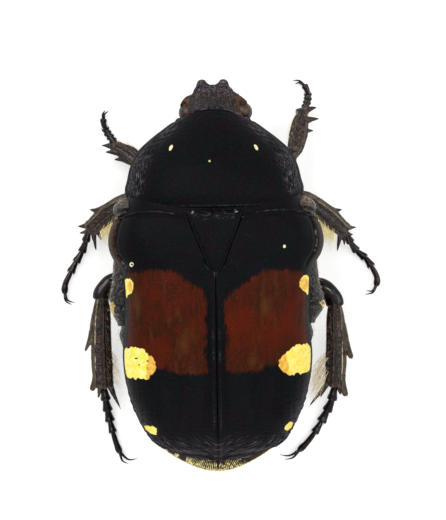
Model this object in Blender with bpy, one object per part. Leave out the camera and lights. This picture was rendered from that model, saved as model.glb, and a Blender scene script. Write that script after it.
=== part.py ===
# A flower chafer beetle, life size, made as a still specimen that stands on its six feet.
# Lengths are in millimetres up to the moment a mesh is made, and the scene is in metres.
# Its head points to -Y, its own left side is +X, and the floor is z = 0.

import math

import bmesh
import bpy
import numpy as np
from mathutils import Matrix, Vector

MM = 0.001
GAP = 0.1

# Driving lengths along the body, from the middle of its length
CLYPEUS_TIP = -7.79
NOTCH = 0.29
PRONOTUM_FRONT = -6.68
PRONOTUM_BACK = -2.72
ELYTRA_BACK = 7.42
PYGIDIUM_FRONT = 6.95
PYGIDIUM_TIP = 7.82
THORAX_BACK = 1.88

# Wing case: wall, how its sections close up to the rear, and where the scutellum and the
# front edge cut into it
WALL = 0.4
CLOSER = 1.25
SCUTELLUM_HALF = 1.08
SCUTELLUM_FRONT = -2.6
SCUTELLUM_TIP = -0.14
SCUTELLUM_TIP_HALF = 0.14
SHOULDER_FRONT = -2.58
SHOULDER_CREST = 2.5
SHOULDER_SWEEP = 0.14
COLLAR_DROP = 0.16

# Legs: height of a foot's middle over the floor, half widths of a foot, hip and claw
SOLE = 0.23
FOOT_WAIST = 0.2
FOOT_FULL = 0.26
HIP = (0.46, 0.42, 0.5)
CLAW = 0.12
CLAW_TIP = 0.03


# Smooth functions

def through(*knots):
    """A smooth function through knots of (place, value), level past its two ends."""
    places = np.array([place for place, _ in knots], float)
    values = np.array([value for _, value in knots], float)
    slopes = np.gradient(values, places)

    def at(place):
        place = min(max(place, places[0]), places[-1])
        i = min(int(np.searchsorted(places, place, side="right")) - 1, len(places) - 2)
        step = places[i + 1] - places[i]
        t = (place - places[i]) / step
        rise = t * t * (3 - 2 * t)
        leave = t * (1 - t) ** 2 * step * slopes[i]
        arrive = t * t * (t - 1) * step * slopes[i + 1]
        return float(values[i] * (1 - rise) + values[i + 1] * rise + leave + arrive)

    return at


def smooth_path(points, count):
    """Points spaced evenly along a smooth line through the given ones."""
    points = [Vector(p) for p in points]
    far = [0.0]
    for a, b in zip(points, points[1:]):
        far.append(far[-1] + (b - a).length)
    if len(points) == 2:
        return [points[0].lerp(points[1], i / (count - 1)) for i in range(count)]
    axes = [through(*[(d, p[k]) for d, p in zip(far, points)]) for k in range(3)]
    return [Vector([axis(far[-1] * i / (count - 1)) for axis in axes]) for i in range(count)]


# Half widths and heights along the body

head_half = through((-7.79, 0.52), (-7.7, 0.66), (-7.45, 0.8), (-7.2, 0.98), (-6.95, 1.2),
                    (-6.6, 1.3), (-6.2, 1.32), (-5.8, 1.25))
head_top = through((-7.79, 3.4), (-7.4, 3.62), (-6.9, 3.98), (-6.5, 4.18), (-5.8, 4.22))
head_under = through((-7.79, 3.15), (-7.4, 2.9), (-6.9, 2.7), (-6.4, 2.65), (-5.8, 2.8))
head_side = through((-7.79, 3.26), (-7.2, 3.3), (-6.4, 3.45), (-5.8, 3.45))

pronotum_half = through((-6.27, 1.42), (-6.03, 1.78), (-5.79, 2.1), (-5.55, 2.42), (-5.31, 2.7),
                        (-5.07, 2.94), (-4.7, 3.18), (-4.3, 3.35), (-3.8, 3.47), (-3.4, 3.56),
                        (-3.2, 3.52), (-3.1, 3.42))
pronotum_top = through((-6.68, 4.38), (-6.2, 4.86), (-5.5, 5.44), (-4.7, 6.0), (-3.8, 6.38),
                       (-3.1, 6.5), (-2.72, 6.46))
pronotum_side = through((-6.68, 3.6), (-5.8, 3.5), (-4.8, 3.55), (-3.8, 3.8), (-2.72, 4.1))
pronotum_under = through((-6.68, 2.8), (-6.0, 2.3), (-5.2, 1.75), (-4.4, 1.45), (-3.4, 1.4),
                         (-2.72, 1.5))

elytra_half = through((-3.3, 3.6), (-2.6, 3.88), (-2.15, 4.08), (-1.7, 4.21), (-1.2, 4.25),
                      (-0.75, 4.12), (-0.36, 3.85), (0.05, 3.7), (0.6, 3.65), (1.6, 3.64),
                      (2.4, 3.68), (3.2, 3.75), (3.9, 3.7), (4.6, 3.57), (5.2, 3.4), (5.7, 3.2),
                      (6.2, 2.92), (6.55, 2.62), (6.85, 2.24), (7.1, 1.74), (7.28, 1.22),
                      (7.38, 0.72), (7.42, 0.3))
elytra_top = through((-3.3, 6.35), (-2.5, 6.58), (-1.5, 6.78), (0.0, 6.9), (1.5, 6.86),
                     (3.0, 6.62), (4.5, 6.08), (5.5, 5.5), (6.3, 4.9), (6.9, 4.35), (7.25, 3.95),
                     (7.42, 3.72))
elytra_side = through((-3.3, 4.1), (-2.0, 4.02), (-1.1, 4.05), (-0.3, 4.3), (0.5, 4.42),
                      (1.6, 4.25), (3.0, 3.98), (4.5, 3.76), (6.0, 3.56), (7.42, 3.48))

thorax_half = through((-3.3, 3.2), (-2.7, 3.72), (-2.1, 3.95), (-1.2, 4.02), (-0.4, 4.08),
                      (0.3, 4.14), (1.0, 4.24), (1.5, 4.14), (1.88, 3.96))
abdomen_half = through((1.98, 3.92), (2.4, 3.88), (2.9, 3.74), (3.5, 3.66), (4.2, 3.55),
                       (5.0, 3.28), (5.7, 2.95), (6.3, 2.55), (6.85, 2.1))
belly = through((-3.3, 1.6), (-2.4, 1.4), (-1.0, 1.3), (1.0, 1.32), (2.5, 1.42), (4.0, 1.6),
                (5.2, 1.9), (6.1, 2.3), (6.85, 2.75))

pygidium_half = through((6.95, 2.06), (7.1, 1.88), (7.3, 1.58), (7.5, 1.2), (7.68, 0.76),
                        (7.78, 0.4), (7.82, 0.16))
pygidium_top = through((6.95, 3.42), (7.42, 3.36), (7.7, 3.25), (7.82, 3.1))
pygidium_under = through((6.95, 2.2), (7.3, 2.4), (7.6, 2.68), (7.82, 2.98))


# Meshes

def mesh_object(name, form):
    """An object whose mesh is the bmesh form, in metres, with its faces pointing out."""
    bmesh.ops.recalc_face_normals(form, faces=form.faces)
    mesh = bpy.data.meshes.new(name)
    form.to_mesh(mesh)
    form.free()
    made = bpy.data.objects.new(name, mesh)
    bpy.context.scene.collection.objects.link(made)
    return made


def loft(name, rings):
    """A closed form through rings of as many points each, with a fan over either end."""
    form = bmesh.new()
    rows = [[form.verts.new(Vector(p) * MM) for p in ring] for ring in rings]
    count = len(rings[0])
    for row, following in zip(rows, rows[1:]):
        for i in range(count):
            j = (i + 1) % count
            form.faces.new((row[i], row[j], following[j], following[i]))
    for row in (rows[0], rows[-1]):
        middle = form.verts.new(sum((v.co for v in row), Vector()) / count)
        for i in range(count):
            form.faces.new((row[i], row[(i + 1) % count], middle))
    return mesh_object(name, form)


def ellipsoid(name, centre, radii, rings=8, segments=12):
    form = bmesh.new()
    bmesh.ops.create_uvsphere(form, u_segments=segments, v_segments=rings, radius=1)
    bmesh.ops.scale(form, vec=Vector(radii) * MM, verts=form.verts)
    bmesh.ops.translate(form, vec=Vector(centre) * MM, verts=form.verts)
    return mesh_object(name, form)


def spike(root, tip, radius, sides=6, tip_radius=0.03):
    """A cone from root to tip, for a tooth or a spur."""
    root = Vector(root)
    tip = Vector(tip)
    form = bmesh.new()
    bmesh.ops.create_cone(form, cap_ends=True, segments=sides, radius1=radius, radius2=tip_radius,
                          depth=(tip - root).length)
    turn = (tip - root).to_track_quat("Z", "Y").to_matrix().to_4x4()
    place = Matrix.Translation((root + tip) / 2) @ turn
    bmesh.ops.transform(form, matrix=Matrix.Scale(MM, 4) @ place, verts=form.verts)
    return mesh_object("spike", form)


def plan_prism(name, outline, low, high):
    """An upright prism on an outline seen from above."""
    form = bmesh.new()
    base = form.faces.new([form.verts.new(Vector((x, y, low)) * MM) for x, y in outline])
    raised = bmesh.ops.extrude_face_region(form, geom=[base])
    tops = [v for v in raised["geom"] if isinstance(v, bmesh.types.BMVert)]
    bmesh.ops.translate(form, vec=Vector((0, 0, high - low)) * MM, verts=tops)
    return mesh_object(name, form)


def tube(name, path, sizes, sides, first=None, last=None, floor=False):
    """A loft along a path. A size is half the width, level, and half the thickness.
    first and last turn the end faces, and floor flattens what would sink into the ground."""
    path = [Vector(p) for p in path]
    rings = []
    for i, point in enumerate(path):
        ahead = path[min(i + 1, len(path) - 1)] - path[max(i - 1, 0)]
        if i == 0 and first is not None:
            ahead = Vector(first)
        if i == len(path) - 1 and last is not None:
            ahead = Vector(last)
        ahead = ahead.normalized()
        across = ahead.cross(Vector((0, 0, 1))).normalized()
        up = across.cross(ahead)
        wide, thick = sizes[i]
        ring = []
        for k in range(sides):
            angle = 2 * math.pi * (k + 0.5) / sides
            place = point + across * wide * math.cos(angle) + up * thick * math.sin(angle)
            if floor:
                place.z = max(place.z, 0.0)
            ring.append(place)
        rings.append(ring)
    return loft(name, rings)


# Cross-sections

def arc(half, top, side, power, count, start=0.0, end=math.pi):
    """Points (x, z) over an arched back, from +x to -x."""
    points = []
    for k in range(count):
        angle = start + (end - start) * k / (count - 1)
        c = math.cos(angle)
        s = abs(math.sin(angle))
        x = half * math.copysign(abs(c) ** (2 / power), c)
        points.append((x, side + (top - side) * s ** (2 / power)))
    return points


def oval(half, top, side, under, upper_power, lower_power, count):
    """Points (x, z) round a section whose widest level is side."""
    back = arc(half, top, side, upper_power, count)
    front = arc(half, under, side, lower_power, count)
    return back + front[-2:0:-1]


def wing_dome(name, inset, first, last, drop, stations, count):
    """The arched form of the closed wing cases, drawn in by inset, its sides let down by drop."""
    rings = []
    for i in range(stations):
        share = i / (stations - 1)
        y = first + (last - first) * (1 - (1 - share) ** CLOSER)
        back = min(max((y - 3.4) / 4.0, 0.0), 1.0)
        outline = y + inset * back
        half = max(elytra_half(outline) - inset, 0.12)
        side = elytra_side(y)
        top = max(elytra_top(outline) - inset, side + 0.05)
        ring = [(x, y, z) for x, z in arc(half, top, side, 2.7, count)]
        if drop:
            ring += [(-half, y, side - drop), (half, y, side - drop)]
        rings.append(ring)
    return loft(name, rings)


def pronotum_form(name, grow, stations, count):
    rings = []
    for i in range(stations):
        share = i / (stations - 1)
        y = PRONOTUM_FRONT + (PRONOTUM_BACK - PRONOTUM_FRONT) * share
        forward = 0.41 * max(1 - (y - PRONOTUM_FRONT) / 2.2, 0)
        backward = 0.4 * max(1 - (PRONOTUM_BACK - y) / 0.9, 0)
        half = pronotum_half(y + forward - backward)
        end = grow * (2 * share - 1)
        section = oval(half + grow, pronotum_top(y) + grow, pronotum_side(y),
                       pronotum_under(y) - grow, 2.2, 1.75 + 0.6 * share, count)
        rings.append([(x, y + end + forward * (x / half) ** 2 - backward * (x / half) ** 4, z)
                      for x, z in section])
    return loft(name, rings)


def head_form(name, grow, stations, count):
    rings = []
    for i in range(stations):
        share = i / (stations - 1)
        y = CLYPEUS_TIP + 1.95 * share ** 1.25
        end = grow * (2 * share - 1)
        section = oval(head_half(y) + grow, head_top(y) + grow, head_side(y), head_under(y) - grow,
                       2.6, 2.3, count)
        rings.append([(x, y + end, z) for x, z in section])
    return loft(name, rings)


CORNER = 0.28
SHOULDER = 0.45


def trunk(name, half_at, steps, count=19):
    """The underside of the body. steps gives its sections as (place, how far they stand in)."""
    rings = []
    for y, drawn in steps:
        half = half_at(y) - drawn
        level = elytra_side(y) - GAP
        shoulder = level - SHOULDER
        low = arc(half, belly(y) + drawn, shoulder, 2.4, count)
        corner = [(half - CORNER + CORNER * math.cos(a), shoulder + SHOULDER * math.sin(a))
                  for a in (math.radians(30), math.radians(60), math.radians(90))]
        section = corner[::-1] + low + [(-x, z) for x, z in corner]
        rings.append([(x, y, z) for x, z in section])
    return loft(name, rings)


# Joining and cutting

def evaluated_mesh(made):
    graph = bpy.context.evaluated_depsgraph_get()
    return bpy.data.meshes.new_from_object(made.evaluated_get(graph), depsgraph=graph)


def apply_boolean(base, operation, others, solver="EXACT"):
    """One Boolean of base with a collection of closed objects, which are then removed."""
    group = bpy.data.collections.new("joined")
    bpy.context.scene.collection.children.link(group)
    for other in others:
        for holder in list(other.users_collection):
            holder.objects.unlink(other)
        group.objects.link(other)
    step = base.modifiers.new(operation.title(), "BOOLEAN")
    step.operation = operation
    step.operand_type = "COLLECTION"
    step.collection = group
    step.solver = solver
    bpy.context.view_layer.update()
    mesh = evaluated_mesh(base)
    base.modifiers.remove(step)
    base.data = mesh
    for other in others:
        bpy.data.objects.remove(other)
    bpy.data.collections.remove(group)


def keep_largest(made):
    """Leaves only the largest closed surface of an object."""
    form = bmesh.new()
    form.from_mesh(made.data)
    bmesh.ops.remove_doubles(form, verts=form.verts, dist=1e-7)
    left = set(form.faces)
    groups = []
    while left:
        group = {left.pop()}
        edge = list(group)
        while edge:
            for line in edge.pop().edges:
                for face in line.link_faces:
                    if face in left:
                        left.remove(face)
                        group.add(face)
                        edge.append(face)
        groups.append(group)
    best = max(groups, key=lambda group: sum(face.calc_area() for face in group))
    bmesh.ops.delete(form, geom=[face for face in form.faces if face not in best], context="FACES")
    loose = [v for v in form.verts if not v.link_faces]
    bmesh.ops.delete(form, geom=loose, context="VERTS")
    bmesh.ops.triangulate(form, faces=form.faces)
    form.to_mesh(made.data)
    form.free()


def solid(name, pieces, cutters=(), kept=None):
    """One node: its pieces joined, the cutters taken away and, where kept is given,
    only what lies inside it left."""
    base = pieces[0]
    if len(pieces) > 1:
        apply_boolean(base, "UNION", pieces[1:])
    if kept is not None:
        apply_boolean(base, "INTERSECT", [kept])
    if cutters:
        apply_boolean(base, "DIFFERENCE", list(cutters))
    keep_largest(base)
    base.name = name
    base.data.name = name
    return base


# Materials

def finish(made, label, colour, roughness):
    """The node's own material, with a colour in linear values."""
    material = bpy.data.materials.new(f"{label} of {made.name}")
    material.use_nodes = True
    shader = material.node_tree.nodes["Principled BSDF"]
    shader.inputs["Base Color"].default_value = (*colour, 1)
    shader.inputs["Roughness"].default_value = roughness
    shader.inputs["Metallic"].default_value = 0
    made.data.materials.clear()
    made.data.materials.append(material)
    made.data.shade_smooth()
    made.data.set_sharp_from_angle(angle=math.radians(38))
    beetle.objects.link(made)
    bpy.context.scene.collection.objects.unlink(made)


BLACK_VELVET = (0.012, 0.013, 0.017)
BLACK_GLOSS = (0.01, 0.009, 0.01)
RUSTY_VELVET = (0.07, 0.012, 0.004)
HEAD_BROWN = (0.05, 0.03, 0.025)
EYE_BROWN = (0.03, 0.014, 0.008)
CREAM = (0.6, 0.45, 0.12)


# Legs, one entry for each, as posed

LEGS = {
    "front_left": {
        "femur": [(1.0, -4.36, 0.98), (1.6, -4.08, 1.08), (2.2, -3.94, 1.25), (2.52, -4.1, 1.38)],
        "femur_size": (0.36, 0.29),
        "tibia": [(2.56, -4.14, 1.38), (3.98, -5.32, 0.72)],
        "tibia_size": [(0.25, 0.25), (0.27, 0.27), (0.36, 0.27), (0.34, 0.25)],
        "teeth": [((3.72, -5.1, 0.74), (4.46, -5.26, 0.58), 0.24),
                  ((3.5, -4.86, 0.82), (4.3, -4.99, 0.68), 0.24),
                  ((3.26, -4.6, 0.96), (3.96, -4.68, 0.8), 0.22)],
        "spurs": [((3.7, -5.25, 0.66), (3.66, -5.62, 0.5), 0.1)],
        "foot": [(4.02, -5.36, 0.62), (4.13, -5.57, 0.42), (4.33, -5.89, 0.25),
                 (4.42, -6.22, SOLE), (4.4, -6.38, SOLE)],
        "claws": [[(4.4, -6.3, 0.2), (4.38, -6.5, 0.24), (4.2, -6.65, 0.1)],
                  [(4.4, -6.3, 0.2), (4.5, -6.5, 0.24), (4.44, -6.72, 0.1)]],
    },
    "front_right": {
        "femur": [(-1.0, -4.38, 0.98), (-2.0, -4.45, 1.15), (-2.85, -4.45, 1.42), (-3.25, -4.75, 1.5)],
        "femur_size": (0.36, 0.29),
        "tibia": [(-3.29, -4.82, 1.5), (-3.64, -6.57, 0.72)],
        "tibia_size": [(0.25, 0.25), (0.27, 0.27), (0.36, 0.27), (0.34, 0.25)],
        "teeth": [((-3.46, -6.34, 0.82), (-4.16, -6.66, 0.6), 0.24),
                  ((-3.42, -5.96, 0.98), (-4.24, -6.2, 0.75), 0.24),
                  ((-3.36, -5.56, 1.15), (-4.0, -5.72, 1.0), 0.22)],
        "spurs": [((-3.45, -6.45, 0.66), (-3.3, -6.82, 0.5), 0.1)],
        "foot": [(-3.68, -6.62, 0.62), (-3.79, -6.88, 0.42), (-3.83, -7.14, 0.26),
                 (-3.78, -7.4, SOLE), (-3.66, -7.6, SOLE)],
        "claws": [[(-3.7, -7.52, 0.2), (-3.5, -7.74, 0.24), (-3.22, -7.77, 0.1)],
                  [(-3.7, -7.52, 0.2), (-3.5, -7.6, 0.24), (-3.38, -7.5, 0.1)]],
    },
    "middle_left": {
        "femur": [(1.06, -2.07, 0.96), (1.9, -2.75, 1.1), (2.7, -3.3, 1.45), (3.18, -3.25, 1.7)],
        "femur_size": (0.42, 0.29),
        "tibia": [(3.26, -3.2, 1.72), (5.09, -1.88, 0.74)],
        "tibia_size": [(0.26, 0.26), (0.31, 0.27), (0.35, 0.27), (0.36, 0.25)],
        "teeth": [((4.5, -2.5, 1.05), (5.02, -2.68, 0.95), 0.16),
                  ((5.0, -2.08, 0.78), (5.51, -2.02, 0.6), 0.15),
                  ((4.98, -1.86, 0.72), (5.46, -1.74, 0.55), 0.13)],
        "spurs": [((4.9, -1.84, 0.66), (4.79, -1.0, 0.42), 0.11),
                  ((4.75, -1.9, 0.66), (4.56, -1.42, 0.5), 0.1)],
        "foot": [(5.13, -1.82, 0.62), (5.2, -1.42, 0.42), (5.37, -0.98, 0.26), (5.65, -0.51, SOLE),
                 (5.86, -0.11, SOLE), (6.06, 0.34, SOLE), (6.09, 0.74, SOLE)],
        "claws": [[(6.09, 0.64, 0.2), (5.97, 0.94, 0.24), (5.68, 1.05, 0.1)],
                  [(6.09, 0.64, 0.2), (6.12, 0.98, 0.24), (5.93, 1.2, 0.1)]],
    },
    "middle_right": {
        "femur": [(-1.06, -2.07, 0.96), (-1.95, -2.7, 1.1), (-2.85, -3.2, 1.45), (-3.36, -3.16, 1.7)],
        "femur_size": (0.42, 0.29),
        "tibia": [(-3.44, -3.12, 1.72), (-5.31, -1.6, 0.74)],
        "tibia_size": [(0.26, 0.26), (0.31, 0.27), (0.35, 0.27), (0.36, 0.25)],
        "teeth": [((-4.62, -2.36, 1.05), (-5.14, -2.54, 0.95), 0.16),
                  ((-5.2, -1.84, 0.78), (-5.69, -1.82, 0.6), 0.15),
                  ((-5.2, -1.6, 0.72), (-5.58, -1.52, 0.55), 0.13)],
        "spurs": [((-5.05, -1.6, 0.66), (-4.91, -0.84, 0.42), 0.11),
                  ((-5.2, -1.55, 0.66), (-5.2, -1.06, 0.5), 0.1)],
        "foot": [(-5.34, -1.54, 0.62), (-5.46, -1.2, 0.42), (-5.69, -0.87, 0.26),
                 (-6.07, -0.53, SOLE), (-6.34, -0.12, SOLE), (-6.5, 0.26, SOLE), (-6.46, 0.62, SOLE)],
        "claws": [[(-6.47, 0.52, 0.2), (-6.32, 0.82, 0.24), (-6.01, 0.9, 0.1)],
                  [(-6.47, 0.52, 0.2), (-6.26, 0.72, 0.24), (-6.12, 0.6, 0.1)]],
    },
    "hind_left": {
        "femur": [(1.38, 1.16, 0.98), (2.4, 0.82, 1.12), (3.5, 0.36, 1.5), (4.28, 0.34, 1.78),
                  (4.54, 0.84, 1.78)],
        "femur_size": (0.5, 0.29),
        "tibia": [(4.56, 0.94, 1.78), (4.62, 2.6, 1.25), (4.57, 4.5, 0.74)],
        "tibia_size": [(0.3, 0.27), (0.34, 0.27), (0.37, 0.27), (0.4, 0.27), (0.38, 0.25)],
        "teeth": [((4.85, 2.8, 1.18), (5.23, 2.98, 1.1), 0.15),
                  ((4.8, 4.1, 0.85), (5.09, 4.6, 0.62), 0.16),
                  ((4.7, 4.3, 0.74), (4.8, 4.88, 0.52), 0.13)],
        "spurs": [((4.4, 4.25, 0.7), (3.88, 5.4, 0.42), 0.12),
                  ((4.3, 4.3, 0.7), (4.05, 5.0, 0.5), 0.1)],
        "foot": [(4.55, 4.6, 0.62), (4.48, 5.07, 0.4), (4.37, 5.67, 0.24), (4.22, 6.32, SOLE),
                 (4.08, 6.8, SOLE), (3.93, 7.18, SOLE)],
        "claws": [[(3.98, 7.06, 0.2), (3.6, 7.4, 0.24), (3.26, 7.37, 0.1)],
                  [(3.98, 7.06, 0.2), (3.88, 7.46, 0.24), (3.66, 7.59, 0.1)]],
    },
    "hind_right": {
        "femur": [(-1.38, 1.18, 0.98), (-2.4, 0.95, 1.12), (-3.5, 0.7, 1.5), (-4.42, 0.75, 1.78),
                  (-4.74, 1.25, 1.78)],
        "femur_size": (0.5, 0.29),
        "tibia": [(-4.76, 1.35, 1.78), (-4.79, 2.9, 1.25), (-4.72, 4.58, 0.74)],
        "tibia_size": [(0.3, 0.27), (0.34, 0.27), (0.37, 0.27), (0.4, 0.27), (0.38, 0.25)],
        "teeth": [((-5.03, 3.26, 1.18), (-5.44, 3.46, 1.1), 0.15),
                  ((-4.95, 4.3, 0.85), (-5.22, 4.88, 0.62), 0.16),
                  ((-4.85, 4.35, 0.74), (-4.98, 4.96, 0.52), 0.13)],
        "spurs": [((-4.5, 4.34, 0.7), (-3.66, 5.4, 0.42), 0.12),
                  ((-4.45, 4.4, 0.7), (-4.12, 5.06, 0.5), 0.1)],
        "foot": [(-4.71, 4.68, 0.62), (-4.58, 5.17, 0.4), (-4.33, 5.69, 0.24), (-3.96, 6.32, SOLE),
                 (-3.55, 6.85, SOLE), (-3.19, 7.19, SOLE)],
        "claws": [[(-3.26, 7.1, 0.2), (-2.85, 7.34, 0.24), (-2.47, 7.3, 0.1)],
                  [(-3.26, 7.1, 0.2), (-3.0, 7.44, 0.24), (-2.7, 7.52, 0.1)]],
    },
}


def coxa(leg):
    """The hip that the thigh grows from: a knob with a short neck, flat where the thigh meets it."""
    start = Vector(leg["femur"][0])
    thigh = (Vector(leg["femur"][1]) - start).normalized()
    neck = start - thigh * GAP
    knob = start - thigh * 0.42 + Vector((0, 0, 0.32))
    size = (leg["femur_size"][0] * 0.72, leg["femur_size"][1] * 0.85)
    return [ellipsoid("hip", knob, HIP, 8, 12),
            tube("neck", [start - thigh * 0.4, neck], [size, size], 12, first=thigh, last=thigh)]


def make_femur(name, leg):
    wide, thick = leg["femur_size"]
    path = smooth_path(leg["femur"], 9)
    swell = (0.72, 0.92, 1.0, 1.0, 0.96, 0.88, 0.78, 0.7, 0.66)
    shin = Vector(leg["tibia"][1]) - Vector(leg["tibia"][0])
    return solid(f"femur_{name}", [tube("thigh", path, [(wide * s, thick * s ** 0.5) for s in swell], 12,
                                        last=shin)])


def make_tibia(name, leg):
    sizes = leg["tibia_size"]
    path = smooth_path(leg["tibia"], len(sizes))
    shin = path[-1] - path[0]
    pieces = [tube("shin", path, sizes, 12, first=shin, last=shin)]
    pieces += [spike(*tooth) for tooth in leg["teeth"]]
    pieces += [spike(*spur) for spur in leg["spurs"]]
    return solid(f"tibia_{name}", pieces)


def make_tarsus(name, leg):
    """Five short foot segments, each narrow where it starts, and a pair of claws."""
    shares = (0.19, 0.17, 0.16, 0.16, 0.32)
    path = smooth_path(leg["foot"], 61)
    places = []
    sizes = []
    start = 0.0
    for share in shares:
        for along, size in ((0.0, FOOT_WAIST), (0.55, 0.24), (0.9, FOOT_FULL)):
            places.append(path[round(60 * (start + share * along))])
            sizes.append((size, size * 0.94))
        start += share
    places.append(path[-1])
    sizes.append((0.2, 0.2))
    shin = Vector(leg["tibia"][-1]) - Vector(leg["tibia"][-2])
    pieces = [tube("foot", places, sizes, 8, first=shin, floor=True)]
    for claw in leg["claws"]:
        hook = smooth_path(claw, 5)
        widths = np.linspace(CLAW, CLAW_TIP, 5)
        pieces.append(tube("claw", hook, [(w, w) for w in widths], 6, floor=True))
    return solid(f"tarsus_{name}", pieces)


# Body pieces

def make_head(eyes):
    turns = [2 * math.pi * k / 14 for k in range(14)]
    circle = [(NOTCH * math.cos(a), CLYPEUS_TIP - 0.07 + NOTCH * math.sin(a)) for a in turns]
    notch = plan_prism("notch", circle, 2.0, 5.0)
    pieces = [head_form("head", 0, 13, 15)]
    pieces.append(ellipsoid("lip", (0, -6.95, 2.85), (0.55, 0.5, 0.42)))
    for side in (1, -1):
        pieces.append(ellipsoid("brow", (side * 1.12, -6.96, 3.5), (0.24, 0.26, 0.12), 6, 10))
        palp = [(side * 0.2, -6.95, 2.8), (side * 0.24, -7.3, 2.68), (side * 0.2, -7.6, 2.8)]
        widths = (0.12, 0.12, 0.12, 0.1, 0.06)
        pieces.append(tube("palp", smooth_path(palp, 5), [(w, w) for w in widths], 6))
    return solid("head", pieces, [notch] + eyes)


def eye(name, side, grow=0.0):
    return ellipsoid(name, (side * 1.1, -6.56, 3.52), [r + grow for r in (0.39, 0.37, 0.4)], 10, 14)


def make_antenna(name, side):
    """A short stalk under the edge of the head, with a club of three leaves."""
    stalk = [(side * 0.96, -6.7, 3.0), (side * 0.98, -6.74, 2.5), (side * 0.9, -6.9, 2.24),
             (side * 0.74, -7.1, 2.18)]
    widths = (0.16, 0.2, 0.18, 0.16, 0.18, 0.16, 0.14)
    pieces = [tube("stalk", smooth_path(stalk, 7), [(w, w) for w in widths], 7)]
    for lift in (-0.13, 0.0, 0.13):
        leaf = ellipsoid("leaf", (0, 0, 0), (0.44, 0.2, 0.12), 5, 9)
        heading = math.atan2(-1, side * (-0.2 - lift))
        place = Matrix.Translation(Vector((side * 0.6, -7.3, 2.18 + lift)) * MM)
        leaf.data.transform(place @ Matrix.Rotation(heading, 4, "Z"))
        pieces.append(leaf)
    return solid(name, pieces, [head_form("head room", GAP, 13, 15), eye("eye room", side, GAP)])


def make_pronotum(eyes):
    pieces = [pronotum_form("pronotum", 0, 17, 21)]
    pieces += coxa(LEGS["front_left"]) + coxa(LEGS["front_right"])
    return solid("pronotum", pieces, [head_form("head room", GAP, 13, 15)] + eyes)


def front_edge(x):
    """How far forward a wing case reaches at a distance from the middle."""
    return SHOULDER_FRONT + SHOULDER_SWEEP * (x - SHOULDER_CREST) ** 2


def front_strip(clear):
    """All that lies in front of both wing cases and the scutellum, less a clearance."""
    reach = SCUTELLUM_HALF + 0.06
    right = [(x, front_edge(x) - clear) for x in np.linspace(reach, 5.0, 10)]
    left = [(-x, y) for x, y in right[::-1]]
    middle = [(-reach, SCUTELLUM_FRONT - clear), (reach, SCUTELLUM_FRONT - clear)]
    return plan_prism("front", left + middle + right + [(5.0, -4.5), (-5.0, -4.5)], 0, 9)


def wing_plan(side):
    """Outline of all that isn't this wing case: the other side, the scutellum and the front."""
    half = GAP / 2
    points = [(half, 9.0), (half, SCUTELLUM_TIP), (SCUTELLUM_TIP_HALF, SCUTELLUM_TIP - 0.08)]
    points += [(x, front_edge(x)) for x in np.linspace(SCUTELLUM_HALF + 0.06, 4.6, 12)]
    points += [(6.0, -2.0), (6.0, -4.5), (-6.0, -4.5), (-6.0, 9.0)]
    return [(side * x, y) for x, y in points]


def make_elytron(name, side):
    shell = wing_dome("shell", 0, -3.2, ELYTRA_BACK, 0, 27, 33)
    room = wing_dome("room", WALL, -3.5, ELYTRA_BACK - 0.3, 1.2, 20, 21)
    plan = plan_prism("plan", wing_plan(side), 0, 9)
    return solid(name, [shell], [room, plan])


def make_scutellum():
    shell = wing_dome("shell", 0, -3.2, 1.0, 0, 11, 33)
    room = wing_dome("room", WALL, -3.5, 1.5, 1.2, 8, 21)
    half = SCUTELLUM_HALF - 0.05
    outline = [(-half, SCUTELLUM_FRONT), (half, SCUTELLUM_FRONT), (half, SCUTELLUM_FRONT + 0.3),
               (SCUTELLUM_TIP_HALF - 0.04, SCUTELLUM_TIP - 0.2), (0.0, SCUTELLUM_TIP - 0.12),
               (0.04 - SCUTELLUM_TIP_HALF, SCUTELLUM_TIP - 0.2), (-half, SCUTELLUM_FRONT + 0.3)]
    return solid("scutellum", [shell], [room], kept=plan_prism("plan", outline, 0, 9))


def make_thorax():
    """The middle of the body: underside, side plates and the hips of four legs."""
    steps = [(y, 0.0) for y in np.linspace(-3.3, THORAX_BACK, 13)]
    pieces = [trunk("trunk", thorax_half, steps)]
    pieces.append(wing_dome("core", WALL + GAP + 0.02, -3.3, THORAX_BACK, 0.6, 9, 21))
    pieces.append(wing_dome("collar", COLLAR_DROP, -3.3, -2.0, 0.6, 5, 21))
    for side in (1, -1):
        pieces.append(ellipsoid("side plate", (side * 3.42, -2.62, 4.15), (0.64, 0.5, 0.95)))
    pieces.append(ellipsoid("keel", (0, -2.1, 1.55), (0.34, 0.75, 0.5)))
    for name in ("middle_left", "middle_right", "hind_left", "hind_right"):
        pieces += coxa(LEGS[name])
    cutters = [pronotum_form("pronotum room", GAP, 17, 21)]
    cutters.append(wing_room())
    return solid("thorax", pieces, cutters)


def wing_room():
    """The space that both wing cases and the scutellum need, with the gap round it."""
    shell = wing_dome("wing space", -GAP, -3.3, THORAX_BACK + 1.0, 0, 13, 21)
    core = wing_dome("core", WALL + GAP, -3.5, THORAX_BACK + 1.4, 1.2, 9, 21)
    apply_boolean(shell, "DIFFERENCE", [core, front_strip(GAP)])
    return shell


def make_abdomen():
    """The hind body, with six segments that overlap like roof tiles."""
    edges = (1.98, 3.0, 3.95, 4.8, 5.6, 6.3, 6.85)
    steps = []
    for start, end in zip(edges, edges[1:]):
        steps += [(start, 0.07), (start + 0.55 * (end - start), 0.02), (end - 0.09, 0.0)]
    steps.append((edges[-1], 0.07))
    pieces = [trunk("trunk", abdomen_half, steps)]
    pieces.append(wing_dome("core", WALL + GAP, edges[0], edges[-1], 0.6, 13, 21))
    return solid("abdomen", pieces)


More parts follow.
